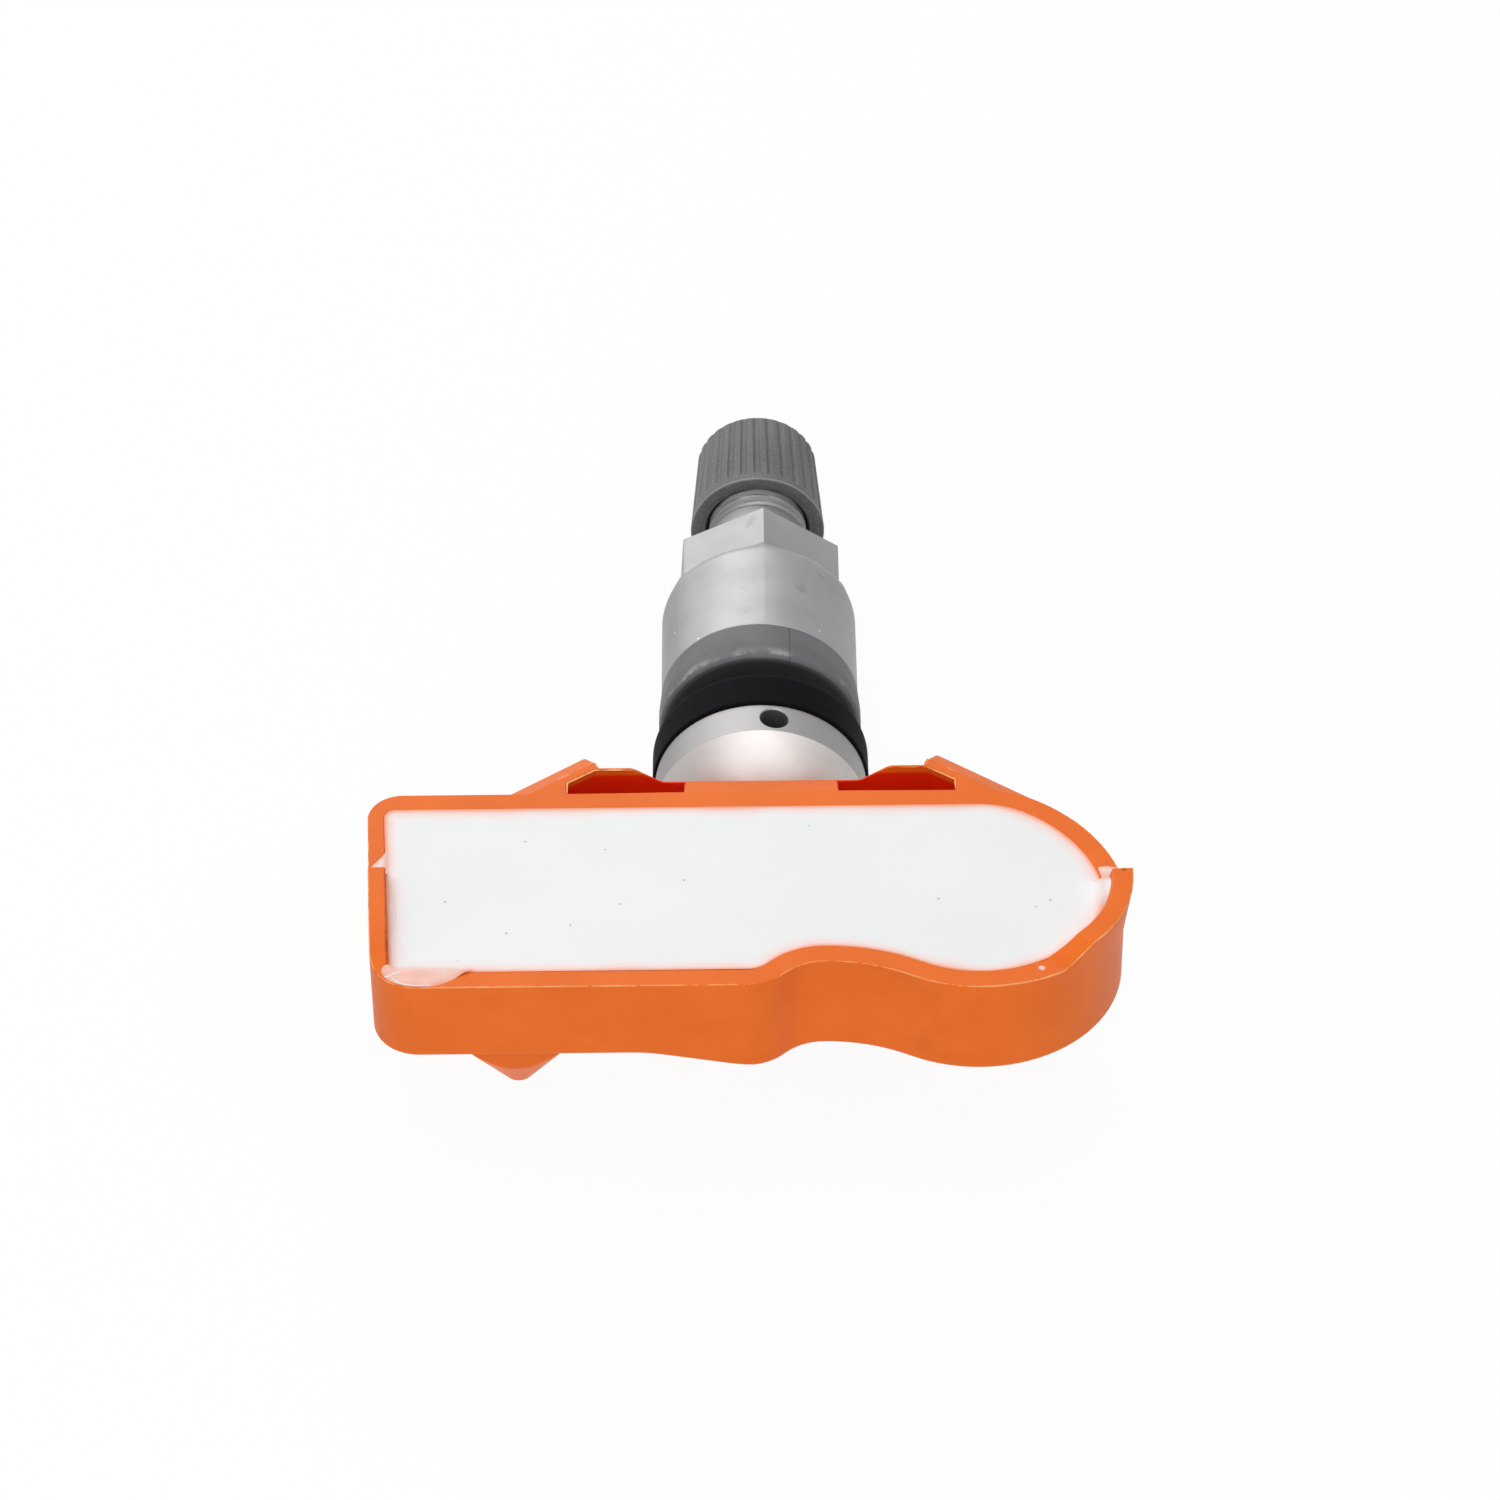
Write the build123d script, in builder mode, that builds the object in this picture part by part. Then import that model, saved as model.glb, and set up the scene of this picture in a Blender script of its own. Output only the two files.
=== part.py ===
# Clamp-in tyre pressure sensor: a potted tray held on the ball head of a valve stem.
# Millimetres. The origin is on the valve axis at the rim's inner sealing face,
# +Y runs out along the stem, +Z towards the potted face and +X along the tray.
import os
from math import asin, atan2, cos, degrees, pi, radians, sin, sqrt, tan

from build123d import *

os.makedirs("parts", exist_ok=True)

# Valve stem
thread_d = 7.7  # valve thread over its crests
shank_d = 8.6  # plain shank inside the grommet
stem_reach = 34.0  # rim face to the valve mouth
mouth_chamfer = 0.5
head_d = 15.7
head_band = 2.9  # straight band of the ball head
ball_r = 8.6
side_port_d = 2.1
side_port_turn = 7.6  # degrees from the top towards +X
air_bore_d = 2.6
core_thread_d = 5.2
core_thread_depth = 6.0
core_cone = 1.0  # length of the conical core seat
core_chamber_d = 4.1
core_chamber_depth = 20.5
screw_hole_depth = 5.2

# Rim seals
flange_d = 16.1
flange_t = 3.64
flange_round = 0.7
neck_d = 11.3  # plug of the grommet in the rim hole
neck_len = 1.9
rim_gap = 2.2  # slot for the rim sheet
ring_d = 15.2
ring_taper = 0.15  # the ring narrows by this at its nut end
ring_len = 4.0
ring_round = 1.0
spigot_d = 9.2  # collar of the ring that snaps into the nut
spigot_len = 1.2

# Collar nut
sleeve_d = 14.86
sleeve_len = 8.75
shoulder_r = 3.3  # round shoulder between sleeve and hexagon
hexagon_af = 12.0
hexagon_sides = 6
nut_len = 14.9
hexagon_turn = 3.7  # degrees that one corner leans from the top

# Dust cap
cap_base_d = 10.5
cap_top_d = 9.3
cap_gap = 26.8  # rim face to the open end of the cap
cap_crown = 0.85
cap_band = 0.9  # plain band at the open end
cap_edge = 0.7
cap_flutes = 30
flute_r = 0.28
flute_depth = 0.2
seal_t = 1.0
seal_hole_d = 3.0

# Valve core
core_head = 0.9  # mouth to the top of the core
plug_len = 5.0
plug_bore_d = 2.0
plug_fork = 1.6  # depth of the driver slot
plug_slot = 1.9
barrel_d = 3.7
barrel_bore_d = 2.9
barrel_len = 9.4
barrel_end = 0.8
gasket_len = 0.9
pin_d = 1.1
pin_collar_d = 2.4
pin_collar_t = 0.6
pin_drop = 0.4  # mouth to the tip of the pin
poppet_d = 3.4
poppet_len = 1.8
poppet_gap = 0.05
spring_wire_d = 0.26
spring_turns = 7
pin_travel = 1.2

# Ball joint and fixing screw
seat_clear = 0.06
seat_wall = 3.0  # bracket wall in front of the ball
screw_d = 4.0
screw_head_d = 6.6
screw_head_t = 1.9
screw_reach = 4.4  # thread inside the ball
recess_r = 1.55
recess_lobe_r = 0.42
recess_lobes = 6
recess_depth = 1.2
tilt_limit = 10.0  # degrees each way
slot_clear = 0.15
slot_len = 8.6

# Tray
tray_left = 28.05  # valve axis to the square end
tray_skew = 1.1  # the square end leans in by this at the front
tray_round_x = 15.0  # valve axis to the centre of the round end
cell_room = 0.7  # coin cell to the round end's inner wall
tray_inset = 0.45  # the square part is this much narrower in front
tray_back = 17.25  # rim face to the tray's back wall
rim_z = 11.2  # valve axis to the tray's rim
tray_depth = 7.9
shallow_depth = 6.6
ramp_end = -1.4
ramp_len = 6.7
ramp_blend = 12.0
wall = 1.6
end_wall = 1.25
floor = 1.2
corner_front = 3.3
corner_back = 2.4
bottom_round = 0.5
round_flat = 0.45  # the back of the round end is this much flatter
round_turn = 41.0
round_run = 2.2
round_blend = 4.0
back_blend = 8.0
notch_x = 4.2
notch_left = 5.4
notch_depth = 2.3
lip_left = 26.0  # rim face to the step of the lip at the square end
lip_right = 27.25  # rim face to the step of the lip at the round end
lip_hold = 32.5  # rim face to where the square end's lip starts to fall
lip_front = 36.6  # rim face to where it meets the rim
fall_turn = 51.0  # degrees from +X round to the middle of the round end's fall
fall_len = 2.4
lip_h = 1.0
lip_extra = 0.3  # the lip of the round end is this much higher
lip_flare = 0.55
flare_depth = 7.0
lip_lean = 0.7  # the round end's lip leans out by this inside
potting_drop = 0.1

# Bracket behind the tray
gusset_root = 19.2  # half width at the tray
gusset_tip = 12.85  # half width at the ears
ear_inner = 11.7  # half width between the ears at the ridge
ear_outer = 12.6  # half width between the ears behind the ridge
ear_bevel = 1.6
ear_drop = 0.9
plate_t = 2.2
bracket_h = 7.4
pocket_out = 13.9
pocket_tip = 11.9
pocket_corner = 1.15  # length of the pocket's straight end wall
pocket_in = 5.5
pocket_floor = 1.2
saddle_top = 9.2
saddle_low = 7.1
saddle_drop = 1.33
saddle_round = 1.1
ridge_t = 0.15
slope_drop = 2.3
tongue_r = 8.2
boss_base_r = 7.5
boss_rise = 2.4
boss_lip = 0.6
channel_w = 8.0  # way in for the screwdriver
channel_spare = 0.6
rib_t = 1.4
rib_x = 6.4
rib_drop = 6.6

# Foot under the tray
foot_x = -17.25
foot_set = 4.3  # front wall to the foot's axis
foot_d = 10.0
foot_h = 5.7
foot_tip_d = 1.6

# Electronics in the potting
chip_x = -11.0
chip_y = -28.0
chip_size = 4.0
chip_t = 1.5
inlet_d = 1.6
port_seal_d = 3.2
port_seal_t = 0.5
board_t = 0.8
board_gap = 0.5  # board edge to the tray's inner wall
board_right = 5.2
board_neck = 2.6  # the board is this much narrower beside the notch
board_neck_x = -2.0
cell_d = 16.0
cell_t = 3.2
cell_cap_d = 13.6
cell_step = 0.5
tab_w = 3.0
tab_t = 0.2
tab_reach = 6.0
coil_in = 6.2  # board's square end to the middle of the coil
coil_y = -30.0
coil_l = 8.0
coil_w = 3.0
coil_t = 1.6
coil_cheek = 1.2
coil_waist = 0.4
crystal_x = -2.5
crystal_y = -23.5
crystal_l = 3.2
crystal_w = 2.5
crystal_t = 0.8
antenna_in = 10.7  # board's square end to the middle of the antenna
antenna_y = -21.8
antenna_span = 17.0
antenna_h = 1.6
antenna_w = 1.2
antenna_t = 0.3
capacitor_x = -7.0
capacitor_y = -31.0
capacitor_l = 1.0
capacitor_w = 0.5
capacitor_t = 0.5
capacitor_pitch = 2.0
capacitor_columns = 4
capacitor_rows = 2

# Fits
press_clear = 0.02
thread_clear = 0.05
slide_clear = 0.15

# Stations along the valve axis
thread_r = thread_d / 2
head_r = head_d / 2
head_top = -flange_t
head_base = head_top - head_band
port_y = head_top - head_band / 2
pivot_y = head_base + sqrt(ball_r**2 - head_r**2)
ball_pole = pivot_y - ball_r
plate_front = ball_pole - seat_clear - seat_wall
ring_near = rim_gap
ring_far = ring_near + ring_len
nut_near = ring_far + press_clear
nut_far = nut_near + nut_len
shoulder_y = nut_near + sleeve_len
cap_inner = stem_reach + seal_t + 2 * press_clear
cap_far = cap_inner + cap_crown
core_top = stem_reach - core_head
core_seat = stem_reach - core_thread_depth
chamber_end = stem_reach - core_chamber_depth
barrel_top = core_top - plug_len
barrel_low = barrel_top - barrel_len
poppet_top = barrel_low - poppet_gap

# Stations of the tray
tray_round_r = cell_d / 2 + cell_room + wall
tray_width = 2 * tray_round_r
tray_mid = -tray_back - tray_round_r
tray_front = -tray_back - tray_width + tray_inset
low_z = rim_z - tray_depth
shallow_z = rim_z - shallow_depth
board_z = shallow_z + floor + port_seal_t + chip_t
board_top = board_z + board_t
cell_z = board_top - cell_t
foot_y = tray_front + foot_set
board_back = -tray_back - wall - board_gap
board_front = tray_front + wall + board_gap
board_left = -tray_left + tray_skew + end_wall + board_gap
coil_x = board_left + coil_in
antenna_x = board_left + antenna_in


def across(y):
    """Plane square to the valve axis at y, with +X kept to the right."""
    return Plane(origin=(0, y, 0), x_dir=(1, 0, 0), z_dir=(0, 1, 0))


def s_arc_radius(run, rise):
    """Radius of the two equal arcs of an S curve with this run and rise."""
    return (run**2 + rise**2) / (4 * rise)


# Valve stem, turned in one piece
with BuildPart() as valve_stem:
    with BuildSketch(Plane.XY):
        with BuildLine():
            ThreePointArc(
                (0, ball_pole),
                (ball_r * sin(pi / 6), pivot_y - ball_r * cos(pi / 6)),
                (head_r, head_base),
            )
            Polyline(
                (head_r, head_base),
                (head_r, head_top),
                (shank_d / 2, head_top),
                (shank_d / 2, neck_len - (shank_d - thread_d) / 2),
                (thread_r, neck_len),
                (thread_r, stem_reach - mouth_chamfer),
                (thread_r - mouth_chamfer, stem_reach),
                (core_thread_d / 2, stem_reach),
                (core_thread_d / 2, core_seat),
                (core_chamber_d / 2, core_seat - core_cone),
                (core_chamber_d / 2, chamber_end),
                (air_bore_d / 2, chamber_end - (core_chamber_d - air_bore_d) / 2),
                (air_bore_d / 2, port_y - side_port_d / 2),
                (0, port_y - side_port_d / 2),
                (0, ball_pole),
            )
        make_face()
    revolve(axis=Axis.Y)
    port_out = (sin(radians(side_port_turn)), 0, cos(radians(side_port_turn)))
    with BuildSketch(Plane(origin=(0, port_y, 0), z_dir=port_out)):
        Circle(side_port_d / 2)
    extrude(amount=head_r, mode=Mode.SUBTRACT)
    with BuildSketch(across(ball_pole)):
        Circle(screw_d / 2 + press_clear)
    extrude(amount=screw_hole_depth, mode=Mode.SUBTRACT)

# Fixing screw with a six-lobe recess
screw_seat = plate_front - press_clear
with BuildPart() as fixing_screw:
    with BuildSketch(across(screw_seat)):
        Circle(screw_head_d / 2)
    extrude(amount=-screw_head_t)
    fillet(fixing_screw.faces().sort_by(Axis.Y)[0].edges(), radius=screw_head_t / 3)
    with BuildSketch(across(screw_seat)):
        Circle(screw_d / 2)
    extrude(amount=ball_pole + screw_reach - screw_seat)
    chamfer(fixing_screw.faces().sort_by(Axis.Y)[-1].edges(), length=screw_d / 10)
    with BuildSketch(across(screw_seat - screw_head_t)):
        Circle(recess_r)
        with PolarLocations(recess_r, recess_lobes):
            Circle(recess_lobe_r)
        with PolarLocations(recess_r, recess_lobes, start_angle=180 / recess_lobes):
            Circle(recess_lobe_r, mode=Mode.SUBTRACT)
    extrude(amount=recess_depth, mode=Mode.SUBTRACT)

# Rubber grommet on the inside of the rim
with BuildPart() as grommet:
    with BuildSketch(Plane.XY):
        with BuildLine():
            Polyline(
                (shank_d / 2 + press_clear, head_top + press_clear),
                (flange_d / 2, head_top + press_clear),
                (flange_d / 2, 0),
                (neck_d / 2, 0),
                (neck_d / 2, neck_len),
                (shank_d / 2 + press_clear, neck_len),
                close=True,
            )
        make_face()
    revolve(axis=Axis.Y)
    seal_edge = grommet.edges().filter_by(GeomType.CIRCLE).sort_by(SortBy.RADIUS)
    fillet(seal_edge.group_by(SortBy.RADIUS)[-1].sort_by(Axis.Y)[-1], radius=flange_round)

# Ring between the nut and the outside of the rim
with BuildPart() as rim_ring:
    with BuildSketch(Plane.XY):
        with BuildLine():
            Polyline(
                (thread_r + slide_clear, ring_near),
                (ring_d / 2, ring_near),
                (ring_d / 2, ring_near + ring_len / 2),
                (ring_d / 2 - ring_taper, ring_far),
                (spigot_d / 2, ring_far),
                (spigot_d / 2, ring_far + spigot_len),
                (thread_r + slide_clear, ring_far + spigot_len),
                close=True,
            )
        make_face()
    revolve(axis=Axis.Y)
    near_edges = rim_ring.faces().sort_by(Axis.Y)[0].edges().sort_by(SortBy.RADIUS)
    fillet(near_edges[-1], radius=ring_round)

# Collar nut: round sleeve and shoulder with a hexagon at its outer end
shoulder_end_r = hexagon_af / 2 - press_clear
hexagon_lean = 180 / hexagon_sides + hexagon_turn
shoulder_turn = pi / 2 - asin((shoulder_end_r - sleeve_d / 2 + shoulder_r) / shoulder_r)
with BuildPart() as collar_nut:
    with BuildSketch(Plane.XY):
        with BuildLine():
            shoulder_end = (shoulder_end_r, shoulder_y + shoulder_r * sin(shoulder_turn))
            shoulder_mid = (
                sleeve_d / 2 - shoulder_r * (1 - cos(shoulder_turn / 2)),
                shoulder_y + shoulder_r * sin(shoulder_turn / 2),
            )
            Polyline(
                (0, shoulder_end[1]),
                (0, nut_near),
                (sleeve_d / 2, nut_near),
                (sleeve_d / 2, shoulder_y),
            )
            ThreePointArc((sleeve_d / 2, shoulder_y), shoulder_mid, shoulder_end)
            Line(shoulder_end, (0, shoulder_end[1]))
        make_face()
    revolve(axis=Axis.Y)
    with BuildSketch(across(shoulder_y)):
        RegularPolygon(hexagon_af / 2, hexagon_sides, major_radius=False, rotation=hexagon_lean)
    extrude(amount=nut_far - shoulder_y)
    with BuildSketch(across(nut_near)):
        Circle(thread_r + thread_clear)
    extrude(amount=nut_len, mode=Mode.SUBTRACT)
    with BuildSketch(across(nut_near)):
        Circle(spigot_d / 2 + thread_clear)
    extrude(amount=spigot_len + thread_clear, mode=Mode.SUBTRACT)

# Dust cap with flutes down to a plain band
flute_lean = degrees(atan2((cap_base_d - cap_top_d) / 2, cap_far - cap_gap))
flute_run = cap_far - cap_gap - cap_band
with BuildPart(across(cap_gap)) as valve_cap:
    with BuildSketch(across(cap_gap)):
        Circle(cap_base_d / 2)
    extrude(amount=cap_far - cap_gap, taper=flute_lean)
    fillet(valve_cap.faces().sort_by(Axis.Y)[-1].edges(), radius=cap_edge)
    flute_mid = cap_band + flute_run / 2
    flute_centre = cap_base_d / 2 - flute_mid * tan(radians(flute_lean)) + flute_r - flute_depth
    with Locations((0, 0, flute_mid)):
        with PolarLocations(flute_centre, cap_flutes):
            Cylinder(flute_r, flute_run, rotation=(0, -flute_lean, 0), mode=Mode.SUBTRACT)
    with BuildSketch(across(cap_gap)):
        Circle(thread_r + thread_clear)
    extrude(amount=cap_inner - cap_gap, mode=Mode.SUBTRACT)

# Rubber disc in the cap
with BuildPart() as cap_seal:
    with BuildSketch(across(stem_reach + press_clear)):
        Circle(thread_r)
        Circle(seal_hole_d / 2, mode=Mode.SUBTRACT)
    extrude(amount=seal_t)

# Core plug with a driver slot across its top
with BuildPart() as core_plug:
    with BuildSketch(across(barrel_top)):
        Circle(core_thread_d / 2 - thread_clear)
        Circle(plug_bore_d / 2, mode=Mode.SUBTRACT)
    extrude(amount=plug_len)
    with BuildSketch(across(core_top)):
        Rectangle(core_thread_d, plug_slot)
    extrude(amount=-plug_fork, mode=Mode.SUBTRACT)

# Core barrel under the plug, closed to a ring at its inner end
with BuildPart() as core_barrel:
    with BuildSketch(across(barrel_low)):
        Circle(barrel_d / 2)
    extrude(amount=barrel_len - press_clear)
    with BuildSketch(across(barrel_low + barrel_end)):
        Circle(barrel_bore_d / 2)
    extrude(amount=barrel_len, mode=Mode.SUBTRACT)
    with BuildSketch(across(barrel_low)):
        Circle(plug_bore_d / 2)
    extrude(amount=barrel_end, mode=Mode.SUBTRACT)

# Conical gasket of the core against its seat in the stem
with BuildPart() as core_gasket:
    with BuildSketch(Plane.XY):
        cone_slope = (core_thread_d - core_chamber_d) / 2 / core_cone
        gasket_top = core_seat - press_clear
        with BuildLine():
            Polyline(
                (barrel_d / 2 + press_clear, gasket_top),
                (core_thread_d / 2 - 2 * press_clear, gasket_top),
                (core_thread_d / 2 - 2 * press_clear - cone_slope * gasket_len, gasket_top - gasket_len),
                (barrel_d / 2 + press_clear, gasket_top - gasket_len),
                close=True,
            )
        make_face()
    revolve(axis=Axis.Y)

# Core pin with the collar that the spring pushes on
spring_top = barrel_top - pin_travel
collar_y = spring_top
with BuildPart() as core_pin:
    with BuildSketch(across(poppet_top)):
        Circle(pin_d / 2)
    extrude(amount=stem_reach - pin_drop - poppet_top)
    fillet(core_pin.faces().sort_by(Axis.Y)[-1].edges(), radius=pin_d / 4)
    with BuildSketch(across(collar_y)):
        Circle(pin_collar_d / 2)
    extrude(amount=pin_collar_t)

# Poppet that closes the barrel's inner end
with BuildPart() as core_poppet:
    with BuildSketch(Plane.XY):
        with BuildLine():
            Polyline(
                (0, poppet_top - press_clear),
                (poppet_d / 2, poppet_top - press_clear),
                (poppet_d / 2, poppet_top - poppet_len / 2),
                (pin_d / 2, poppet_top - poppet_len),
                (0, poppet_top - poppet_len),
                close=True,
            )
        make_face()
    revolve(axis=Axis.Y)

# Return spring between the barrel's end and the pin's collar
spring_low = barrel_low + barrel_end + spring_wire_d / 2 + press_clear
spring_high = collar_y - spring_wire_d / 2 - press_clear
spring_r = (pin_d + barrel_bore_d) / 4
with BuildPart() as core_spring:
    with BuildLine():
        spring_path = Helix(
            (spring_high - spring_low) / spring_turns,
            spring_high - spring_low,
            spring_r,
            center=(0, spring_low, 0),
            direction=(0, 1, 0),
        )
    with BuildSketch(Plane(origin=spring_path @ 0, z_dir=spring_path % 0)):
        Circle(spring_wire_d / 2)
    sweep(path=spring_path, is_frenet=True)

# Plan of the tray, and of its inside
with BuildSketch() as tray_plan:
    with BuildLine():
        left_r = s_arc_radius(notch_left, notch_depth)
        notch_y = tray_front + notch_depth
        notch_run = tray_round_x - notch_x
        notch_rise = tray_mid - notch_y
        right_r = (notch_run**2 + notch_rise**2 - tray_round_r**2) / (2 * (tray_round_r - notch_rise))
        left_turn = degrees(2 * atan2(notch_depth, notch_left))
        right_turn = degrees(atan2(notch_run, notch_rise + right_r))
        front_corner = (-tray_left + tray_skew, tray_front)
        back_corner = (-tray_left, -tray_back)
        round_side = (tray_round_x + tray_round_r, tray_mid)
        round_bulge = (
            tray_round_x + (tray_round_r - round_flat) * cos(radians(round_turn)),
            tray_mid + (tray_round_r - round_flat) * sin(radians(round_turn)),
        )
        round_back = (tray_round_x + round_run, -tray_back)
        Line(front_corner, (notch_x - notch_left, tray_front))
        JernArc((notch_x - notch_left, tray_front), (1, 0), left_r, left_turn)
        JernArc((notch_x, notch_y), (-1, 0), left_r, left_turn)
        right_flank = JernArc((notch_x, notch_y), (1, 0), right_r, -right_turn)
        JernArc(right_flank @ 1, right_flank % 1, tray_round_r, right_turn + 90)
        ThreePointArc(round_side, round_bulge, round_back)
        Line(round_back, back_corner)
        Line(back_corner, front_corner)
    make_face()
    fillet(tray_plan.vertices().sort_by_distance(front_corner)[0], radius=corner_front)
    fillet(tray_plan.vertices().sort_by_distance(back_corner)[0], radius=corner_back)
    fillet(tray_plan.vertices().sort_by_distance(round_back)[0], radius=back_blend)
    fillet(tray_plan.vertices().sort_by_distance(round_side)[0], radius=round_blend)
with BuildSketch() as inner_plan:
    add(tray_plan.sketch)
    offset(amount=-wall)
    end_front = (-tray_left + tray_skew + end_wall, tray_front + wall)
    end_back = (-tray_left + end_wall, -tray_back - wall)
    with BuildLine():
        Polyline(
            end_front,
            (end_front[0] + 2 * wall, end_front[1]),
            (end_back[0] + 2 * wall, end_back[1]),
            end_back,
            close=True,
        )
    make_face()
    for corner in (end_front, end_back):
        fillet(inner_plan.vertices().sort_by_distance(corner)[0], radius=wall / 2)


def tray_block(plan, top, lift):
    """The plan run down from top to the tray's stepped underside, raised by lift."""
    ramp_start = ramp_end - ramp_len
    with BuildPart() as block:
        with BuildSketch(Plane.XY.offset(top)):
            add(plan)
        extrude(amount=low_z - top)
        with BuildSketch(Plane.XZ):
            with BuildLine():
                Polyline(
                    (-2 * tray_left, top + wall),
                    (2 * tray_left, top + wall),
                    (2 * tray_left, low_z + lift),
                    (ramp_end, low_z + lift),
                    (ramp_start, shallow_z + lift),
                    (-2 * tray_left, shallow_z + lift),
                    close=True,
                )
            make_face()
            fillet(vertices().group_by(Axis.X)[1:3], radius=ramp_blend)
        extrude(amount=2 * tray_width + tray_back, both=True, mode=Mode.INTERSECT)
    return block.part


# Raised lips at both ends of the rim, each in front of a step
with BuildPart() as left_lip:
    with BuildSketch(Plane.XY.offset(rim_z - wall)):
        add(tray_plan.sketch)
    extrude(amount=wall + lip_h)
    with BuildSketch(Plane.YZ.offset(-2 * tray_left)):
        with BuildLine():
            Polyline(
                (-lip_left, rim_z - wall),
                (-lip_left, rim_z + lip_h),
                (-lip_hold, rim_z + lip_h),
                (-lip_front, rim_z),
                (-lip_front, rim_z - wall),
                close=True,
            )
        make_face()
    extrude(amount=tray_left + 2 * wall, mode=Mode.INTERSECT)
lip_top = rim_z + lip_h + lip_extra
with BuildPart() as right_lip:
    with BuildSketch(Plane.XY.offset(rim_z - flare_depth)):
        with Locations((tray_round_x, tray_mid)):
            Circle(tray_round_r - lip_flare)
    with BuildSketch(Plane.XY.offset(lip_top)):
        with Locations((tray_round_x + lip_flare, tray_mid)):
            Circle(tray_round_r)
    loft()
    with BuildSketch(Plane.XY.offset(lip_top)):
        with Locations((tray_round_x + tray_round_r, -lip_right - tray_round_r)):
            Rectangle(2 * tray_round_r, 2 * tray_round_r)
    extrude(amount=-tray_depth, mode=Mode.INTERSECT)
    fall_out = (cos(radians(fall_turn)), -sin(radians(fall_turn)), 0)
    fall_along = (sin(radians(fall_turn)), cos(radians(fall_turn)), 0)
    with BuildSketch(Plane(origin=(tray_round_x, tray_mid, 0), x_dir=fall_along, z_dir=fall_out)):
        with BuildLine():
            Polyline(
                (fall_len / 2, lip_top),
                (-fall_len / 2, rim_z),
                (-2 * tray_round_r, rim_z),
                (-2 * tray_round_r, lip_top),
                close=True,
            )
        make_face()
    extrude(amount=2 * tray_round_r, mode=Mode.SUBTRACT)

# Space inside the round end's lip, where it leans out
inner_round_r = tray_round_r - wall
with BuildPart() as lip_relief:
    with BuildSketch(Plane.XY.offset(rim_z - 2 * wall)):
        with Locations((tray_round_x, tray_mid)):
            Circle(inner_round_r - lip_lean)
    with BuildSketch(Plane.XY.offset(lip_top)):
        with Locations((tray_round_x + lip_lean, tray_mid)):
            Circle(inner_round_r)
    loft()
    with BuildSketch(Plane.XY.offset(lip_top)):
        with Locations((tray_round_x + tray_round_r, -lip_right - tray_round_r)):
            Rectangle(2 * tray_round_r, 2 * tray_round_r)
    extrude(amount=-tray_depth, mode=Mode.INTERSECT)
with BuildPart() as lip_fill:
    add(lip_relief.part)
    split(bisect_by=Plane.XY.offset(rim_z - potting_drop), keep=Keep.BOTTOM)

# Bracket block behind the tray: gussets, back plate and the tongue around the ball
plate_back = plate_front + plate_t
with BuildPart() as bracket:
    with BuildSketch(Plane.XY.offset(rim_z)):
        with BuildLine():
            Polyline(
                (-gusset_root, -tray_back - wall),
                (-gusset_root, -tray_back),
                (-gusset_tip, plate_back),
                (gusset_tip, plate_back),
                (gusset_root, -tray_back),
                (gusset_root, -tray_back - wall),
                close=True,
            )
        make_face()
    extrude(amount=-bracket_h)
    top_face = bracket.faces().sort_by(Axis.Z)[-1]
    ear_edges = top_face.edges().filter_by_position(Axis.Y, -tray_back, plate_front)
    chamfer(ear_edges, length=ear_bevel, length2=ear_drop, reference=top_face)
    with BuildSketch(across(plate_front)):
        Circle(tongue_r)
        with Locations((0, -rim_z / 2)):
            Rectangle(2 * tongue_r, rim_z - 2 * saddle_drop)
    extrude(amount=plate_t)
    with BuildSketch(across(plate_back)):
        Circle(boss_base_r)
    boss_seat_r = sqrt((ball_r + seat_clear) ** 2 - (pivot_y - plate_back - boss_rise) ** 2)
    with BuildSketch(across(plate_back + boss_rise)):
        Circle(boss_seat_r + boss_lip)
    loft()
    for side in (-1, 1):
        with BuildSketch(Plane.YZ.offset(side * rib_x - rib_t / 2)):
            with BuildLine():
                Polyline(
                    (plate_front + rib_t, rim_z - bracket_h + rib_t),
                    (-tray_back, rim_z - bracket_h + rib_t),
                    (-tray_back, rim_z - bracket_h),
                    (plate_front, rim_z - bracket_h - rib_drop),
                    (plate_front + rib_t, rim_z - bracket_h - rib_drop),
                    close=True,
                )
            make_face()
        extrude(amount=rib_t)

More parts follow.
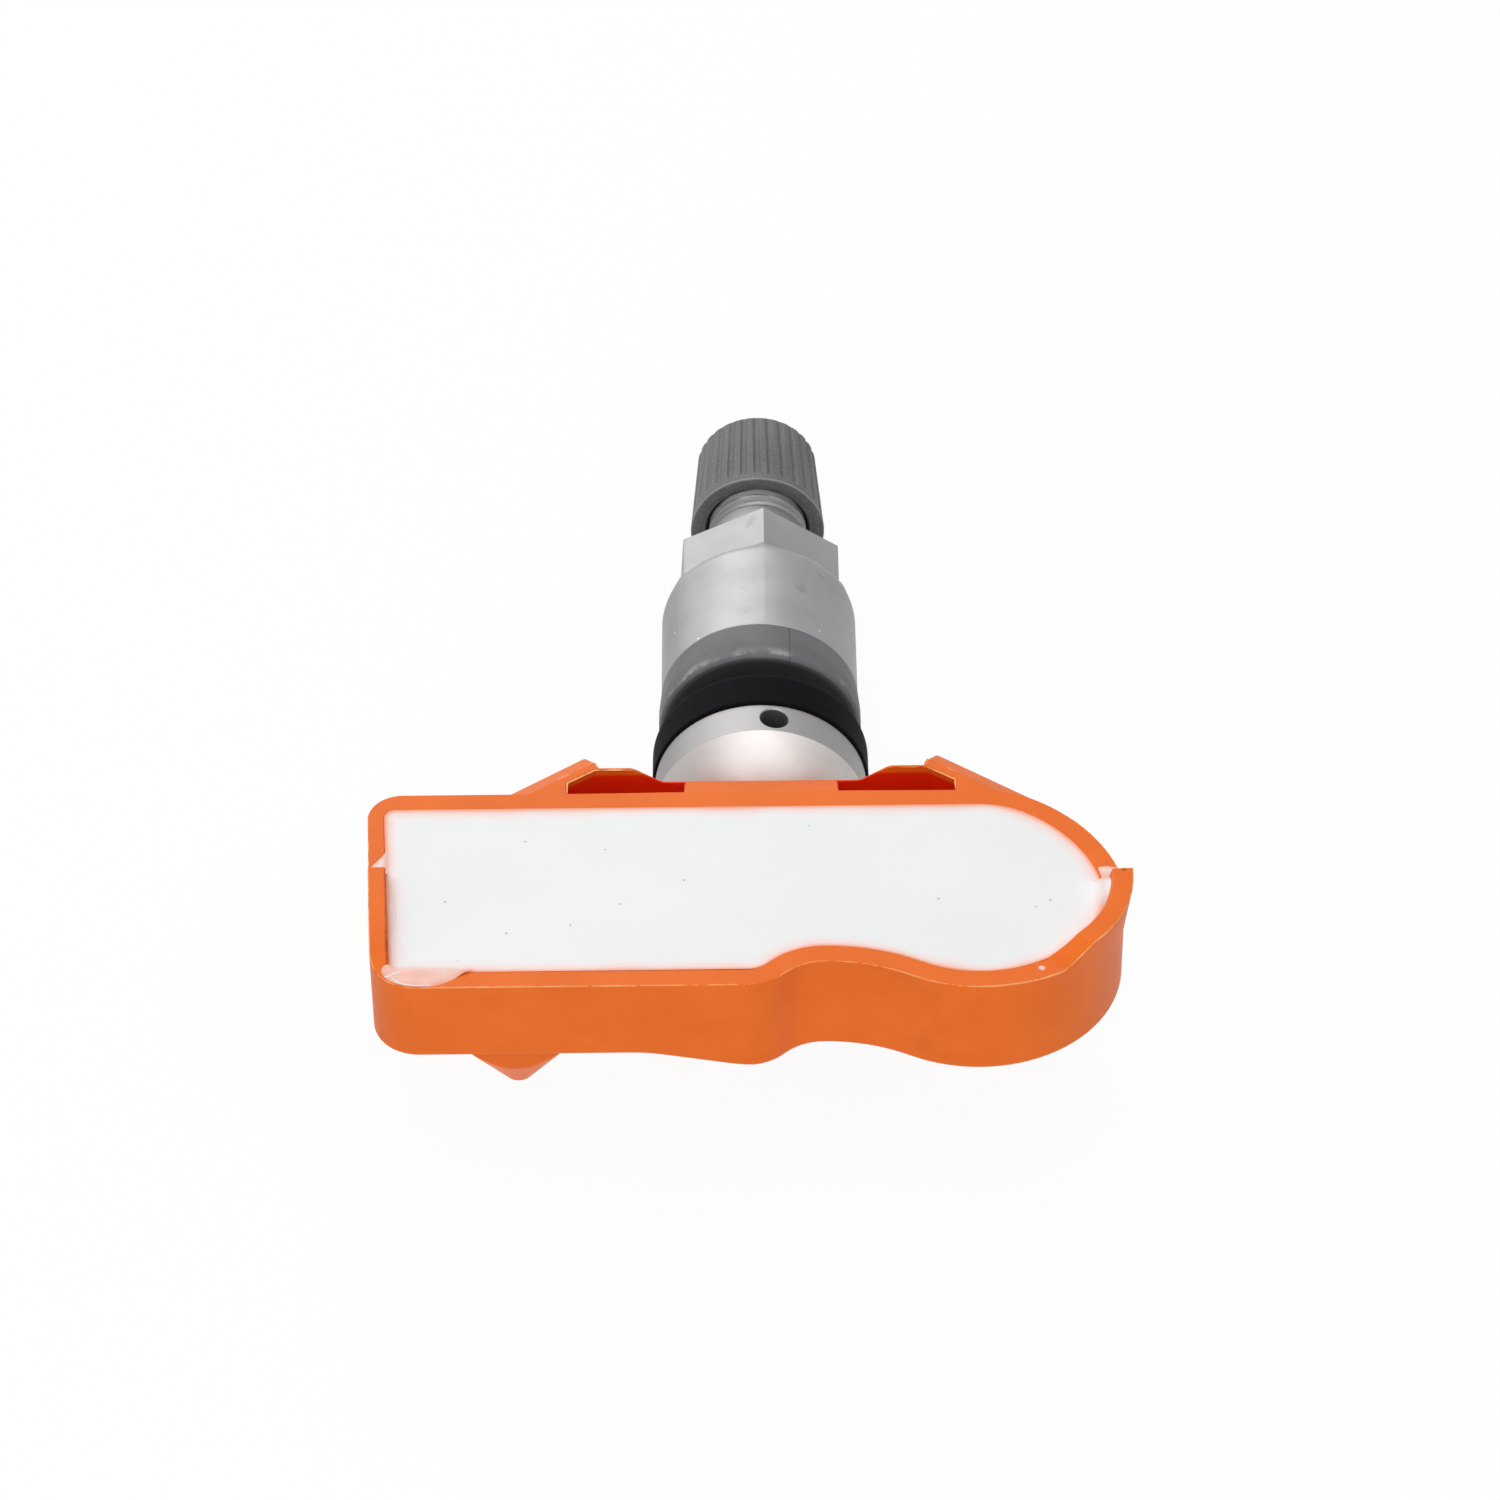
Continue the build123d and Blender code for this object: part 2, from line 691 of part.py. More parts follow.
# Space above the bracket: two pockets, the saddle and the slope behind the ridge
ridge_y = plate_front + ridge_t
with BuildPart() as bracket_relief:
    for side in (-1, 1):
        with BuildSketch(Plane.XY.offset(rim_z)):
            with BuildLine():
                Polyline(
                    (side * pocket_in, -tray_back),
                    (side * pocket_out, -tray_back),
                    (side * pocket_out, -tray_back + pocket_corner),
                    (side * pocket_tip, plate_front),
                    (side * pocket_in, plate_front),
                    close=True,
                )
            make_face()
        extrude(amount=pocket_floor - bracket_h)
    with BuildSketch(Plane.YZ.offset(-pocket_in)):
        with BuildLine():
            Polyline(
                (-tray_back, rim_z),
                (plate_front, rim_z - saddle_drop),
                (plate_front, rim_z),
                close=True,
            )
        make_face()
    extrude(amount=2 * pocket_in)
    plate_edge = (plate_front, ear_inner, 0)
    ridge_edge = (ridge_y, ear_inner, 0)
    slope_edge = (plate_back, ear_outer, slope_drop)
    for span in ((plate_edge, ridge_edge), (ridge_edge, slope_edge)):
        for y, half, drop in span:
            with BuildSketch(across(y)):
                with BuildLine():
                    Polyline(
                        (-half, -rim_z - wall),
                        (-half, drop - rim_z),
                        (-saddle_top, drop - rim_z),
                        (-saddle_low, drop + saddle_drop - rim_z),
                        (saddle_low, drop + saddle_drop - rim_z),
                        (saddle_top, drop - rim_z),
                        (half, drop - rim_z),
                        (half, -rim_z - wall),
                        close=True,
                    )
                make_face()
                fillet(vertices().group_by(Axis.X)[1:-1], radius=saddle_round)
        loft()

# Way in for the screwdriver, down to a round face about the tilt axis
swing_r = pivot_y - plate_front
channel_top = (swing_r + screw_head_t) * sin(radians(tilt_limit)) + screw_head_d / 2 + channel_spare
with BuildPart() as driver_channel:
    with BuildSketch(Plane.YZ.offset(-channel_w / 2)):
        with BuildLine():
            Polyline(
                (-tray_back, -channel_top),
                (plate_back, -channel_top),
                (plate_back, channel_top),
                (-tray_back, channel_top),
                close=True,
            )
        make_face()
        with Locations((pivot_y, 0)):
            Circle(swing_r, mode=Mode.SUBTRACT)
    extrude(amount=channel_w)

# Foot under the tray, cut off behind the round of the front wall
with BuildPart() as foot:
    with BuildSketch(Plane.XY.offset(shallow_z + floor / 2)):
        with Locations((foot_x, foot_y)):
            Circle(foot_d / 2)
    extrude(amount=-floor / 2)
    with BuildSketch(Plane.XY.offset(shallow_z)):
        with Locations((foot_x, foot_y)):
            Circle(foot_d / 2)
    with BuildSketch(Plane.XY.offset(shallow_z - foot_h)):
        with Locations((foot_x, foot_y)):
            Circle(foot_tip_d / 2)
    loft()
    fillet(foot.faces().sort_by(Axis.Z)[0].edges(), radius=foot_tip_d / 3)
    with BuildSketch(Plane.XY.offset(rim_z)):
        with Locations((foot_x, tray_front + bottom_round - foot_d)):
            Rectangle(2 * foot_d, 2 * foot_d)
    extrude(amount=-rim_z - foot_h, mode=Mode.SUBTRACT)

# Housing: tray, lips, bracket and foot moulded as one piece
with BuildPart() as housing:
    add(tray_block(tray_plan.sketch, rim_z, 0))
    low_edges = housing.edges().filter_by_position(Axis.Z, low_z - wall, shallow_z + wall / 2)
    cross_lines = low_edges.filter_by(Axis.Y).filter_by_position(Axis.X, -tray_left + wall, tray_round_x)
    fillet(low_edges - cross_lines, radius=bottom_round)
    add(left_lip.part)
    add(right_lip.part)
    add(bracket.part)
    add(foot.part)
    add(tray_block(inner_plan.sketch, rim_z + lip_h + lip_extra, floor), mode=Mode.SUBTRACT)
    add(lip_relief.part, mode=Mode.SUBTRACT)
    add(bracket_relief.part, mode=Mode.SUBTRACT)
    add(driver_channel.part, mode=Mode.SUBTRACT)
    with Locations((0, pivot_y, 0)):
        Sphere(ball_r + seat_clear, mode=Mode.SUBTRACT)
    with BuildSketch(across(plate_front)):
        SlotOverall(slot_len, screw_d + 2 * slot_clear, rotation=90)
    extrude(amount=plate_t + boss_rise, mode=Mode.SUBTRACT)
    with BuildSketch(Plane.XY.offset(shallow_z)):
        with Locations((chip_x, chip_y)):
            Circle(inlet_d / 2)
    extrude(amount=floor, mode=Mode.SUBTRACT)

# Circuit board, narrowed beside the notch
with BuildPart() as circuit_board:
    with BuildSketch(Plane.XY.offset(board_z)):
        with BuildLine():
            Polyline(
                (board_left, board_back),
                (board_right, board_back),
                (board_right, board_front + board_neck),
                (board_neck_x, board_front + board_neck),
                (board_neck_x, board_front),
                (board_left, board_front),
                close=True,
            )
        make_face()
        fillet(vertices().group_by(Axis.X)[0], radius=corner_back)
    extrude(amount=board_t)

# Pressure chip under the board with its inlet port
with BuildPart() as pressure_chip:
    with BuildSketch(Plane.XY.offset(board_z)):
        with Locations((chip_x, chip_y)):
            RectangleRounded(chip_size, chip_size, chip_t / 4)
    extrude(amount=-chip_t)
    with BuildSketch(Plane.XY.offset(board_z - chip_t)):
        with Locations((chip_x, chip_y)):
            Circle(inlet_d / 2)
    extrude(amount=chip_t / 2, mode=Mode.SUBTRACT)

# Seal ring between the chip and the tray's floor
with BuildPart() as port_seal:
    with BuildSketch(Plane.XY.offset(board_z - chip_t)):
        with Locations((chip_x, chip_y)):
            Circle(port_seal_d / 2)
            Circle(inlet_d / 2, mode=Mode.SUBTRACT)
    extrude(amount=-port_seal_t)

# Coin cell in the round end
with BuildPart() as coin_cell:
    with BuildSketch(Plane.XY.offset(cell_z + cell_step)):
        with Locations((tray_round_x, tray_mid)):
            Circle(cell_d / 2)
    extrude(amount=cell_t - cell_step)
    fillet(coin_cell.faces().sort_by(Axis.Z)[-1].edges(), radius=cell_step / 2)
    with BuildSketch(Plane.XY.offset(cell_z)):
        with Locations((tray_round_x, tray_mid)):
            Circle(cell_cap_d / 2)
    extrude(amount=cell_step)

# Cell tabs: one flat over the cell, one folded up from under it
tab_end = tray_round_x - cell_d / 2 + tab_reach
tab_fold = (board_right + tray_round_x - cell_d / 2) / 2
with BuildPart() as cell_tab_upper:
    with BuildSketch(Plane.XY.offset(board_top)):
        with Locations(((board_right - tab_w + tab_end) / 2, tray_mid)):
            Rectangle(tab_end - board_right + tab_w, tab_w)
    extrude(amount=tab_t)
with BuildPart() as cell_tab_lower:
    with BuildSketch(Plane.XZ.offset(-tray_mid - tab_w / 2)):
        with BuildLine():
            Polyline(
                (board_right - tab_w, board_z),
                (tab_fold, board_z),
                (tab_fold, cell_z),
                (tab_end, cell_z),
                (tab_end, cell_z - tab_t),
                (tab_fold - tab_t, cell_z - tab_t),
                (tab_fold - tab_t, board_z - tab_t),
                (board_right - tab_w, board_z - tab_t),
                close=True,
            )
        make_face()
    extrude(amount=tab_w)

# Wake-up coil: a wound bar between two cheeks
with BuildPart() as lf_coil:
    with BuildSketch(Plane.XY.offset(board_top)):
        with Locations((coil_x, coil_y)):
            Rectangle(coil_l, coil_w)
    extrude(amount=coil_t)
    for side in (-1, 1):
        with BuildSketch(Plane.XY.offset(board_top + coil_t - coil_waist)):
            with Locations((coil_x, coil_y + side * (coil_w - coil_waist) / 2)):
                Rectangle(coil_l - 2 * coil_cheek, coil_waist)
        extrude(amount=coil_waist, mode=Mode.SUBTRACT)

# Crystal can
with BuildPart() as crystal:
    with BuildSketch(Plane.XY.offset(board_top)):
        with Locations((crystal_x, crystal_y)):
            RectangleRounded(crystal_l, crystal_w, crystal_t / 2)
    extrude(amount=crystal_t)

# Antenna: a strip bent into an arch over the board
with BuildPart() as antenna:
    with BuildSketch(Plane.XZ.offset(-antenna_y - antenna_w / 2)):
        with Locations((antenna_x, board_top + antenna_h / 2)):
            Rectangle(antenna_span, antenna_h)
        with Locations((antenna_x, board_top + (antenna_h - antenna_t) / 2)):
            Rectangle(antenna_span - 2 * antenna_t, antenna_h - antenna_t, mode=Mode.SUBTRACT)
    extrude(amount=antenna_w)

# Small capacitors in two rows
with BuildPart() as chip_capacitors:
    with BuildSketch(Plane.XY.offset(board_top)):
        with Locations((capacitor_x, capacitor_y)):
            with GridLocations(capacitor_pitch, capacitor_pitch, capacitor_columns, capacitor_rows):
                Rectangle(capacitor_l, capacitor_w)
    extrude(amount=capacitor_t)

# Potting compound: the rest of the tray's inside
with BuildPart() as potting:
    add(tray_block(inner_plan.sketch, rim_z - potting_drop, floor))
    add(lip_fill.part)
    for buried in (
        circuit_board,
        pressure_chip,
        port_seal,
        coin_cell,
        cell_tab_upper,
        cell_tab_lower,
        lf_coil,
        crystal,
        antenna,
        chip_capacitors,
    ):
        add(buried.part, mode=Mode.SUBTRACT)
    with BuildSketch(Plane.XY.offset(shallow_z + floor)):
        with Locations((chip_x, chip_y)):
            Circle(inlet_d / 2)
    extrude(amount=port_seal_t + chip_t, mode=Mode.SUBTRACT)

valve_stem.part.label = "valve_stem"
fixing_screw.part.label = "fixing_screw"
grommet.part.label = "grommet"
rim_ring.part.label = "rim_ring"
collar_nut.part.label = "collar_nut"
valve_cap.part.label = "valve_cap"
cap_seal.part.label = "cap_seal"
core_plug.part.label = "core_plug"
core_barrel.part.label = "core_barrel"
core_gasket.part.label = "core_gasket"
core_pin.part.label = "core_pin"
core_poppet.part.label = "core_poppet"
core_spring.part.label = "core_spring"
housing.part.label = "housing"
potting.part.label = "potting"
circuit_board.part.label = "circuit_board"
pressure_chip.part.label = "pressure_chip"
port_seal.part.label = "port_seal"
coin_cell.part.label = "coin_cell"
cell_tab_upper.part.label = "cell_tab_upper"
cell_tab_lower.part.label = "cell_tab_lower"
lf_coil.part.label = "lf_coil"
crystal.part.label = "crystal"
antenna.part.label = "antenna"
chip_capacitors.part.label = "chip_capacitors"
export_step(valve_stem.part, "parts/valve_stem.step")
export_step(fixing_screw.part, "parts/fixing_screw.step")
export_step(grommet.part, "parts/grommet.step")
export_step(rim_ring.part, "parts/rim_ring.step")
export_step(collar_nut.part, "parts/collar_nut.step")
export_step(valve_cap.part, "parts/valve_cap.step")
export_step(cap_seal.part, "parts/cap_seal.step")
export_step(core_plug.part, "parts/core_plug.step")
export_step(core_barrel.part, "parts/core_barrel.step")
export_step(core_gasket.part, "parts/core_gasket.step")
export_step(core_pin.part, "parts/core_pin.step")
export_step(core_poppet.part, "parts/core_poppet.step")
export_step(core_spring.part, "parts/core_spring.step")
export_step(housing.part, "parts/housing.step")
export_step(potting.part, "parts/potting.step")
export_step(circuit_board.part, "parts/circuit_board.step")
export_step(pressure_chip.part, "parts/pressure_chip.step")
export_step(port_seal.part, "parts/port_seal.step")
export_step(coin_cell.part, "parts/coin_cell.step")
export_step(cell_tab_upper.part, "parts/cell_tab_upper.step")
export_step(cell_tab_lower.part, "parts/cell_tab_lower.step")
export_step(lf_coil.part, "parts/lf_coil.step")
export_step(crystal.part, "parts/crystal.step")
export_step(antenna.part, "parts/antenna.step")
export_step(chip_capacitors.part, "parts/chip_capacitors.step")
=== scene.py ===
import math

import bmesh
import bpy
import numpy as np
from mathutils import Matrix, Vector, noise
from mathutils.geometry import delaunay_2d_cdt


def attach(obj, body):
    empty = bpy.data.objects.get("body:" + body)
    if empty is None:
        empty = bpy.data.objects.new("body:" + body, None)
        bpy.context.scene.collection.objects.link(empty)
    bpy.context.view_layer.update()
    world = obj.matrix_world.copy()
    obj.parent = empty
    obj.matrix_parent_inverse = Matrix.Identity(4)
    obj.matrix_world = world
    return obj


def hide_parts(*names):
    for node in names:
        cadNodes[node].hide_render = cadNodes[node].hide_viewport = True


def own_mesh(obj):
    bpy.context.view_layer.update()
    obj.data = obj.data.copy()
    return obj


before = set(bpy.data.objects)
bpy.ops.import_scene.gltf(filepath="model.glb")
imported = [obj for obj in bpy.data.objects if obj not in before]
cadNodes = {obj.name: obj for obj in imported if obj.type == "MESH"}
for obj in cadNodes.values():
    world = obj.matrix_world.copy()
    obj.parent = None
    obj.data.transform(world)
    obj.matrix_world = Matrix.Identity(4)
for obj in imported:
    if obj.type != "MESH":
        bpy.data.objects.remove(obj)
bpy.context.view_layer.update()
scene = bpy.context.scene
scene.view_settings.view_transform = "Standard"
mm = 0.001
fullTurn = 2 * math.pi
print("frame loaded with", len(cadNodes), "nodes")

# small mesh tools, all in millimetres in the CAD frame; turns are in degrees
meshSpec = {"weld": 0.0005, "cadWeld": 0.002, "flatTurn": 0.6, "sharpTurn": 28, "bevelSegments": 2,
            "roundShare": 0.48, "bevelShare": 0.45, "bevelLeast": 0.55}


def addObject(name, data):
    thing = bpy.data.objects.new(name, data)
    scene.collection.objects.link(thing)
    return thing


def newPiece(name, verts, faces):
    mesh = bpy.data.meshes.new(name)
    mesh.from_pydata([(v[0] * mm, v[1] * mm, v[2] * mm) for v in verts], [], faces)
    mesh.validate()
    return addObject(name, mesh)


def bakeModifiers(piece):
    bpy.context.view_layer.update()
    shown = piece.evaluated_get(bpy.context.evaluated_depsgraph_get())
    mesh = bpy.data.meshes.new_from_object(shown)
    old = piece.data
    piece.modifiers.clear()
    piece.data = mesh
    bpy.data.meshes.remove(old)
    mesh.name = piece.name


def finishShading(piece, angle):
    piece.data.shade_smooth()
    piece.data.set_sharp_from_angle(angle=math.radians(angle))
    weighted = piece.modifiers.new("evenNormals", "WEIGHTED_NORMAL")
    weighted.keep_sharp = True
    bakeModifiers(piece)


def seat(piece, slot, body, nodes, smooth=32, material=None):
    # smooth shading up to an angle, then the finish picked by the slot, the body's empty as parent, and the CAD nodes
    # it stands for hidden
    finishShading(piece, smooth)
    piece.data.materials.clear()
    piece.data.materials.append(material or finishes[slot])
    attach(piece, body)
    if nodes:
        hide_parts(*nodes)
    print("piece", piece.name, len(piece.data.vertices), "points")


def eased(value):
    # 0 to 1 with a soft start and end
    value = min(1.0, max(0.0, value))
    return value * value * (3 - 2 * value)


def roundedLoop(corners, steps):
    # corners of a closed outline, each with its own edge radius
    loop = []
    count = len(corners)
    share = meshSpec["roundShare"]
    for i in range(count):
        a, p, b = (Vector(corners[(i + k) % count][:2]) for k in (-1, 0, 1))
        radius = corners[i][2]
        u, v = a - p, b - p
        if radius <= 0 or u.length < 1e-6 or v.length < 1e-6:
            loop.append((p.x, p.y))
            continue
        half = u.angle(v) / 2
        reach = min(radius / math.tan(half), share * u.length, share * v.length)
        radius = reach * math.tan(half)
        u.normalize()
        v.normalize()
        centre = p + (u + v).normalized() * radius / math.sin(half)
        start, end = p + u * reach - centre, p + v * reach - centre
        for k in range(steps + 1):
            spoke = start.lerp(end, k / steps).normalized() * radius
            loop.append((centre.x + spoke.x, centre.y + spoke.y))
    return loop


def roundedCorner(corner, before, after, radius, steps):
    # the points of one rounded corner of a profile
    return roundedLoop([(*corner, radius), (*after, 0), (*before, 0)], steps)[:steps + 1]


def columnPoint(r, y, angle):
    return (r * math.sin(angle), y, r * math.cos(angle))


def columnFaces(columns, rows, closed=True):
    # quads between neighbouring columns of points
    faces = []
    for i in range(columns):
        here, there = i * rows, (i + 1) % columns * rows
        for k in range(rows if closed else rows - 1):
            up = (k + 1) % rows
            faces.append((here + k, there + k, there + up, here + up))
    return faces


def turned(loop, columns, bend=None, closed=True):
    # turns an outline of (radius, y) about the valve axis
    angles = columns if isinstance(columns, list) else [fullTurn * i / columns for i in range(columns)]
    verts = []
    for angle in angles:
        for r, y in loop:
            if bend:
                r, y = bend(r, y, angle)
            verts.append(columnPoint(r, y, angle))
    return verts, columnFaces(len(angles), len(loop), closed)


def weld(piece):
    bm = bmesh.new()
    bm.from_mesh(piece.data)
    bmesh.ops.remove_doubles(bm, verts=bm.verts, dist=meshSpec["weld"] * mm)
    bmesh.ops.recalc_face_normals(bm, faces=bm.faces)
    bm.to_mesh(piece.data)
    bm.free()
    return piece


def cadSurface(node):
    bm = bmesh.new()
    bm.from_mesh(cadNodes[node].data)
    bmesh.ops.remove_doubles(bm, verts=bm.verts, dist=meshSpec["cadWeld"] * mm)
    return bm


def softCopy(node, name, width):
    # a copy of the solid's surface with its sharp edges broken
    s = meshSpec
    bm = cadSurface(node)
    bmesh.ops.dissolve_limit(bm, angle_limit=math.radians(s["flatTurn"]), verts=bm.verts, edges=bm.edges)
    weight = bm.edges.layers.float.new("bevel_weight_edge")
    least = math.radians(s["sharpTurn"])
    sharp = {e for e in bm.edges if len(e.link_faces) == 2 and e.calc_face_angle() > least}
    for e in sharp:
        room = width * mm  # less where a neighbouring edge is short
        for v in e.verts:
            crowded = sum(o in sharp for o in v.link_edges) > 2
            for o in v.link_edges:
                if o not in sharp or crowded:
                    room = min(room, s["bevelShare"] * o.calc_length())
        e[weight] = room / (width * mm) if room > s["bevelLeast"] * width * mm else 0.0
    mesh = bpy.data.meshes.new(name)
    bm.to_mesh(mesh)
    bm.free()
    piece = addObject(name, mesh)
    bevel = piece.modifiers.new("edges", "BEVEL")
    bevel.width = width * mm
    bevel.segments = s["bevelSegments"]
    bevel.limit_method = "WEIGHT"
    bevel.use_clamp_overlap = False
    bakeModifiers(piece)
    return piece


# shader tools
def addNode(tree, kind, settings=None, **inputs):
    node = tree.nodes.new(kind)
    for key, value in (settings or {}).items():
        setattr(node, key, value)
    for key, value in inputs.items():
        node.inputs[key].default_value = value
    return node


def mathNode(tree, kind, a, b=None, clamp=False):
    node = addNode(tree, "ShaderNodeMath", {"operation": kind, "use_clamp": clamp})
    for i, value in enumerate((a, b)):
        if value is None:
            continue
        if isinstance(value, (int, float)):
            node.inputs[i].default_value = value
        else:
            tree.links.new(value, node.inputs[i])
    return node.outputs[0]


def times(tree, product, *values):
    for value in values:
        product = mathNode(tree, "MULTIPLY", product, value)
    return product


def remap(tree, value, low, high, outLow=0.0, outHigh=1.0):
    node = addNode(tree, "ShaderNodeMapRange", {"clamp": True, "interpolation_type": "SMOOTHSTEP"})
    for i, number in ((1, low), (2, high), (3, outLow), (4, outHigh)):
        node.inputs[i].default_value = number
    tree.links.new(value, node.inputs[0])
    return node.outputs[0]


def mixColour(tree, factor, a, b):
    node = addNode(tree, "ShaderNodeMix", {"data_type": "RGBA", "blend_type": "MIX"})
    for socket, value in ((node.inputs[0], factor), (node.inputs[6], a), (node.inputs[7], b)):
        if isinstance(value, (int, float)):
            socket.default_value = value
        elif isinstance(value, tuple):
            socket.default_value = (*value, 1.0)
        else:
            tree.links.new(value, socket)
    return node.outputs[2]


def objectPoint(tree):
    return tree.nodes.new("ShaderNodeTexCoord").outputs["Object"]


def splitAxes(tree, vector):
    axes = addNode(tree, "ShaderNodeSeparateXYZ")
    tree.links.new(vector, axes.inputs[0])
    return axes.outputs


def noiseAt(tree, point, **inputs):
    texture = addNode(tree, "ShaderNodeTexNoise", **inputs)
    tree.links.new(point, texture.inputs["Vector"])
    return texture


def newGroup(name, inputs, outputs):
    tree = bpy.data.node_groups.new(name, "ShaderNodeTree")
    for label, value in inputs.items():
        socket = tree.interface.new_socket(label, in_out="INPUT", socket_type="NodeSocketFloat")
        socket.default_value = value
    for label in outputs:
        tree.interface.new_socket(label, in_out="OUTPUT", socket_type="NodeSocketFloat")
    return tree, tree.nodes.new("NodeGroupInput").outputs, tree.nodes.new("NodeGroupOutput").inputs


def useGroup(tree, group, **values):
    node = tree.nodes.new("ShaderNodeGroup")
    node.node_tree = group
    for key, value in values.items():
        node.inputs[key].default_value = value
    return node.outputs


def newMaterial(name, **values):
    material = bpy.data.materials.new(name)
    material.use_nodes = True
    tree = material.node_tree
    shader = tree.nodes["Principled BSDF"]
    for key, value in values.items():
        shader.inputs[key.replace("_", " ")].default_value = value
    return material, tree, shader


def makeMouldGrain():
    # moulded grain: a fine spark-eroded texture with a slow drift of tone
    tree, given, out = newGroup("mouldGrain", {"Fine": 6000.0, "Slow": 160.0}, ["Height", "Drift"])
    point = objectPoint(tree)
    fine = noiseAt(tree, point, Detail=3.0, Roughness=0.6)
    slow = noiseAt(tree, point, Detail=2.0, Roughness=0.5)
    tree.links.new(given["Fine"], fine.inputs["Scale"])
    tree.links.new(given["Slow"], slow.inputs["Scale"])
    tree.links.new(fine.outputs["Fac"], out["Height"])
    tree.links.new(remap(tree, slow.outputs["Fac"], 0.3, 0.7), out["Drift"])
    return tree


def makeTurnedLines():
    # turned finish: fine lines round the valve axis
    tree, given, out = newGroup("turnedLines", {"Pitch": 9000.0, "Wander": 0.00003}, ["Height", "Band"])
    point = objectPoint(tree)
    x, y, z = splitAxes(tree, point)
    square = mathNode(tree, "ADD", mathNode(tree, "POWER", x, 2.0), mathNode(tree, "POWER", z, 2.0))
    run = mathNode(tree, "ADD", mathNode(tree, "SQRT", square), y)
    wobble = noiseAt(tree, point, Scale=260.0, Detail=2.0).outputs["Fac"]
    place = mathNode(tree, "ADD", run, times(tree, wobble, given["Wander"]))
    lines = addNode(tree, "ShaderNodeTexNoise", {"noise_dimensions": "1D"}, Scale=1.0, Detail=4.0, Roughness=0.7)
    tree.links.new(times(tree, place, given["Pitch"]), lines.inputs["W"])
    tree.links.new(lines.outputs["Fac"], out["Height"])
    tree.links.new(remap(tree, wobble, 0.35, 0.65), out["Band"])
    return tree


def makeScatter():
    # scattered marks: a few small specks, pits or stains with ragged edges
    tree, given, out = newGroup("scatteredMarks", {"Spacing": 300.0, "Size": 0.12, "Share": 0.2}, ["Mask"])
    point = objectPoint(tree)
    cells = addNode(tree, "ShaderNodeTexVoronoi", {"feature": "F1"}, Randomness=1.0)
    tree.links.new(point, cells.inputs["Vector"])
    tree.links.new(given["Spacing"], cells.inputs["Scale"])
    ragged = times(tree, noiseAt(tree, point, Scale=4000.0, Detail=2.0).outputs["Fac"], 0.08)
    edge = mathNode(tree, "ADD", cells.outputs["Distance"], ragged)
    near = mathNode(tree, "LESS_THAN", edge, given["Size"])
    keep = mathNode(tree, "LESS_THAN", splitAxes(tree, cells.outputs["Color"])[0], given["Share"])
    tree.links.new(times(tree, near, keep), out["Mask"])
    return tree


def makeSmudges():
    # smudges: soft dark or pale patches where a surface was handled
    tree, given, out = newGroup("smudges", {"Scale": 240.0, "Low": 0.62, "High": 0.78}, ["Mask"])
    point = objectPoint(tree)
    large = noiseAt(tree, point, Detail=3.0, Roughness=0.55)
    small = noiseAt(tree, point, Scale=2600.0, Detail=3.0, Roughness=0.6)
    tree.links.new(given["Scale"], large.inputs["Scale"])
    span = mathNode(tree, "SUBTRACT", given["High"], given["Low"])
    over = mathNode(tree, "SUBTRACT", large.outputs["Fac"], given["Low"])
    patch = mathNode(tree, "DIVIDE", over, span, clamp=True)
    broken = remap(tree, small.outputs["Fac"], 0.3, 0.62, 0.45, 1.0)
    tree.links.new(times(tree, patch, broken), out["Mask"])
    return tree


mouldGrain, turnedLines, scatter, smudges = makeMouldGrain(), makeTurnedLines(), makeScatter(), makeSmudges()
print("shader groups ready")


# finishes
def marked(tree, tone, colour, strength, group, **values):
    # another colour where a group's mask says
    return mixColour(tree, times(tree, useGroup(tree, group, **values)["Mask"], strength), tone, colour)


def softLine(tree, value, width, strength):
    # a line of a width in mm where a value is near zero
    return remap(tree, mathNode(tree, "ABSOLUTE", value), 0.3 * width * mm, width * mm, strength, 0.0)


def dress(tree, shader, tone, height, span, roughness, depth):
    # every finish ends alike: its colour, with roughness and bump from its grain
    tree.links.new(tone, shader.inputs["Base Color"])
    tree.links.new(remap(tree, height, *span, *roughness), shader.inputs["Roughness"])
    bump = addNode(tree, "ShaderNodeBump", Strength=1.0, Distance=depth * mm)
    tree.links.new(height, bump.inputs["Height"])
    tree.links.new(bump.outputs["Normal"], shader.inputs["Normal"])


def plasticFinish(name, colour, dark, roughness, fine, depth, dust=0.0, gloss=0.5, pale=None, wornHighlight=None):
    spec = {"dust": (0.55, 0.55, 0.56), "dustStrength": 0.5, "wornHighlightStrength": 0.7, "paleGrains": (0.5, 0.72, 0.0, 0.8),
            "span": (0.25, 0.75), "spread": (-0.06, 0.08)}
    material, tree, shader = newMaterial(name, Specular_IOR_Level=gloss)
    grain = useGroup(tree, mouldGrain, Fine=fine)
    tone = mixColour(tree, grain["Drift"], colour, dark)
    if pale:  # lighter grains in the moulded surface
        tone = mixColour(tree, remap(tree, grain["Height"], *spec["paleGrains"]), tone, pale)
    if wornHighlight:  # pale line along an edge across the valve axis: wear and a painted highlight
        place, width, shine = wornHighlight
        off = mathNode(tree, "SUBTRACT", splitAxes(tree, objectPoint(tree))[1], place * mm)
        tone = mixColour(tree, softLine(tree, off, width, spec["wornHighlightStrength"]), tone, shine)
    if dust:
        tone = marked(tree, tone, spec["dust"], spec["dustStrength"], scatter, Spacing=1400.0, Size=0.25, Share=dust)
    roughness = [roughness + off for off in spec["spread"]]
    dress(tree, shader, tone, grain["Height"], spec["span"], roughness, depth)
    return material


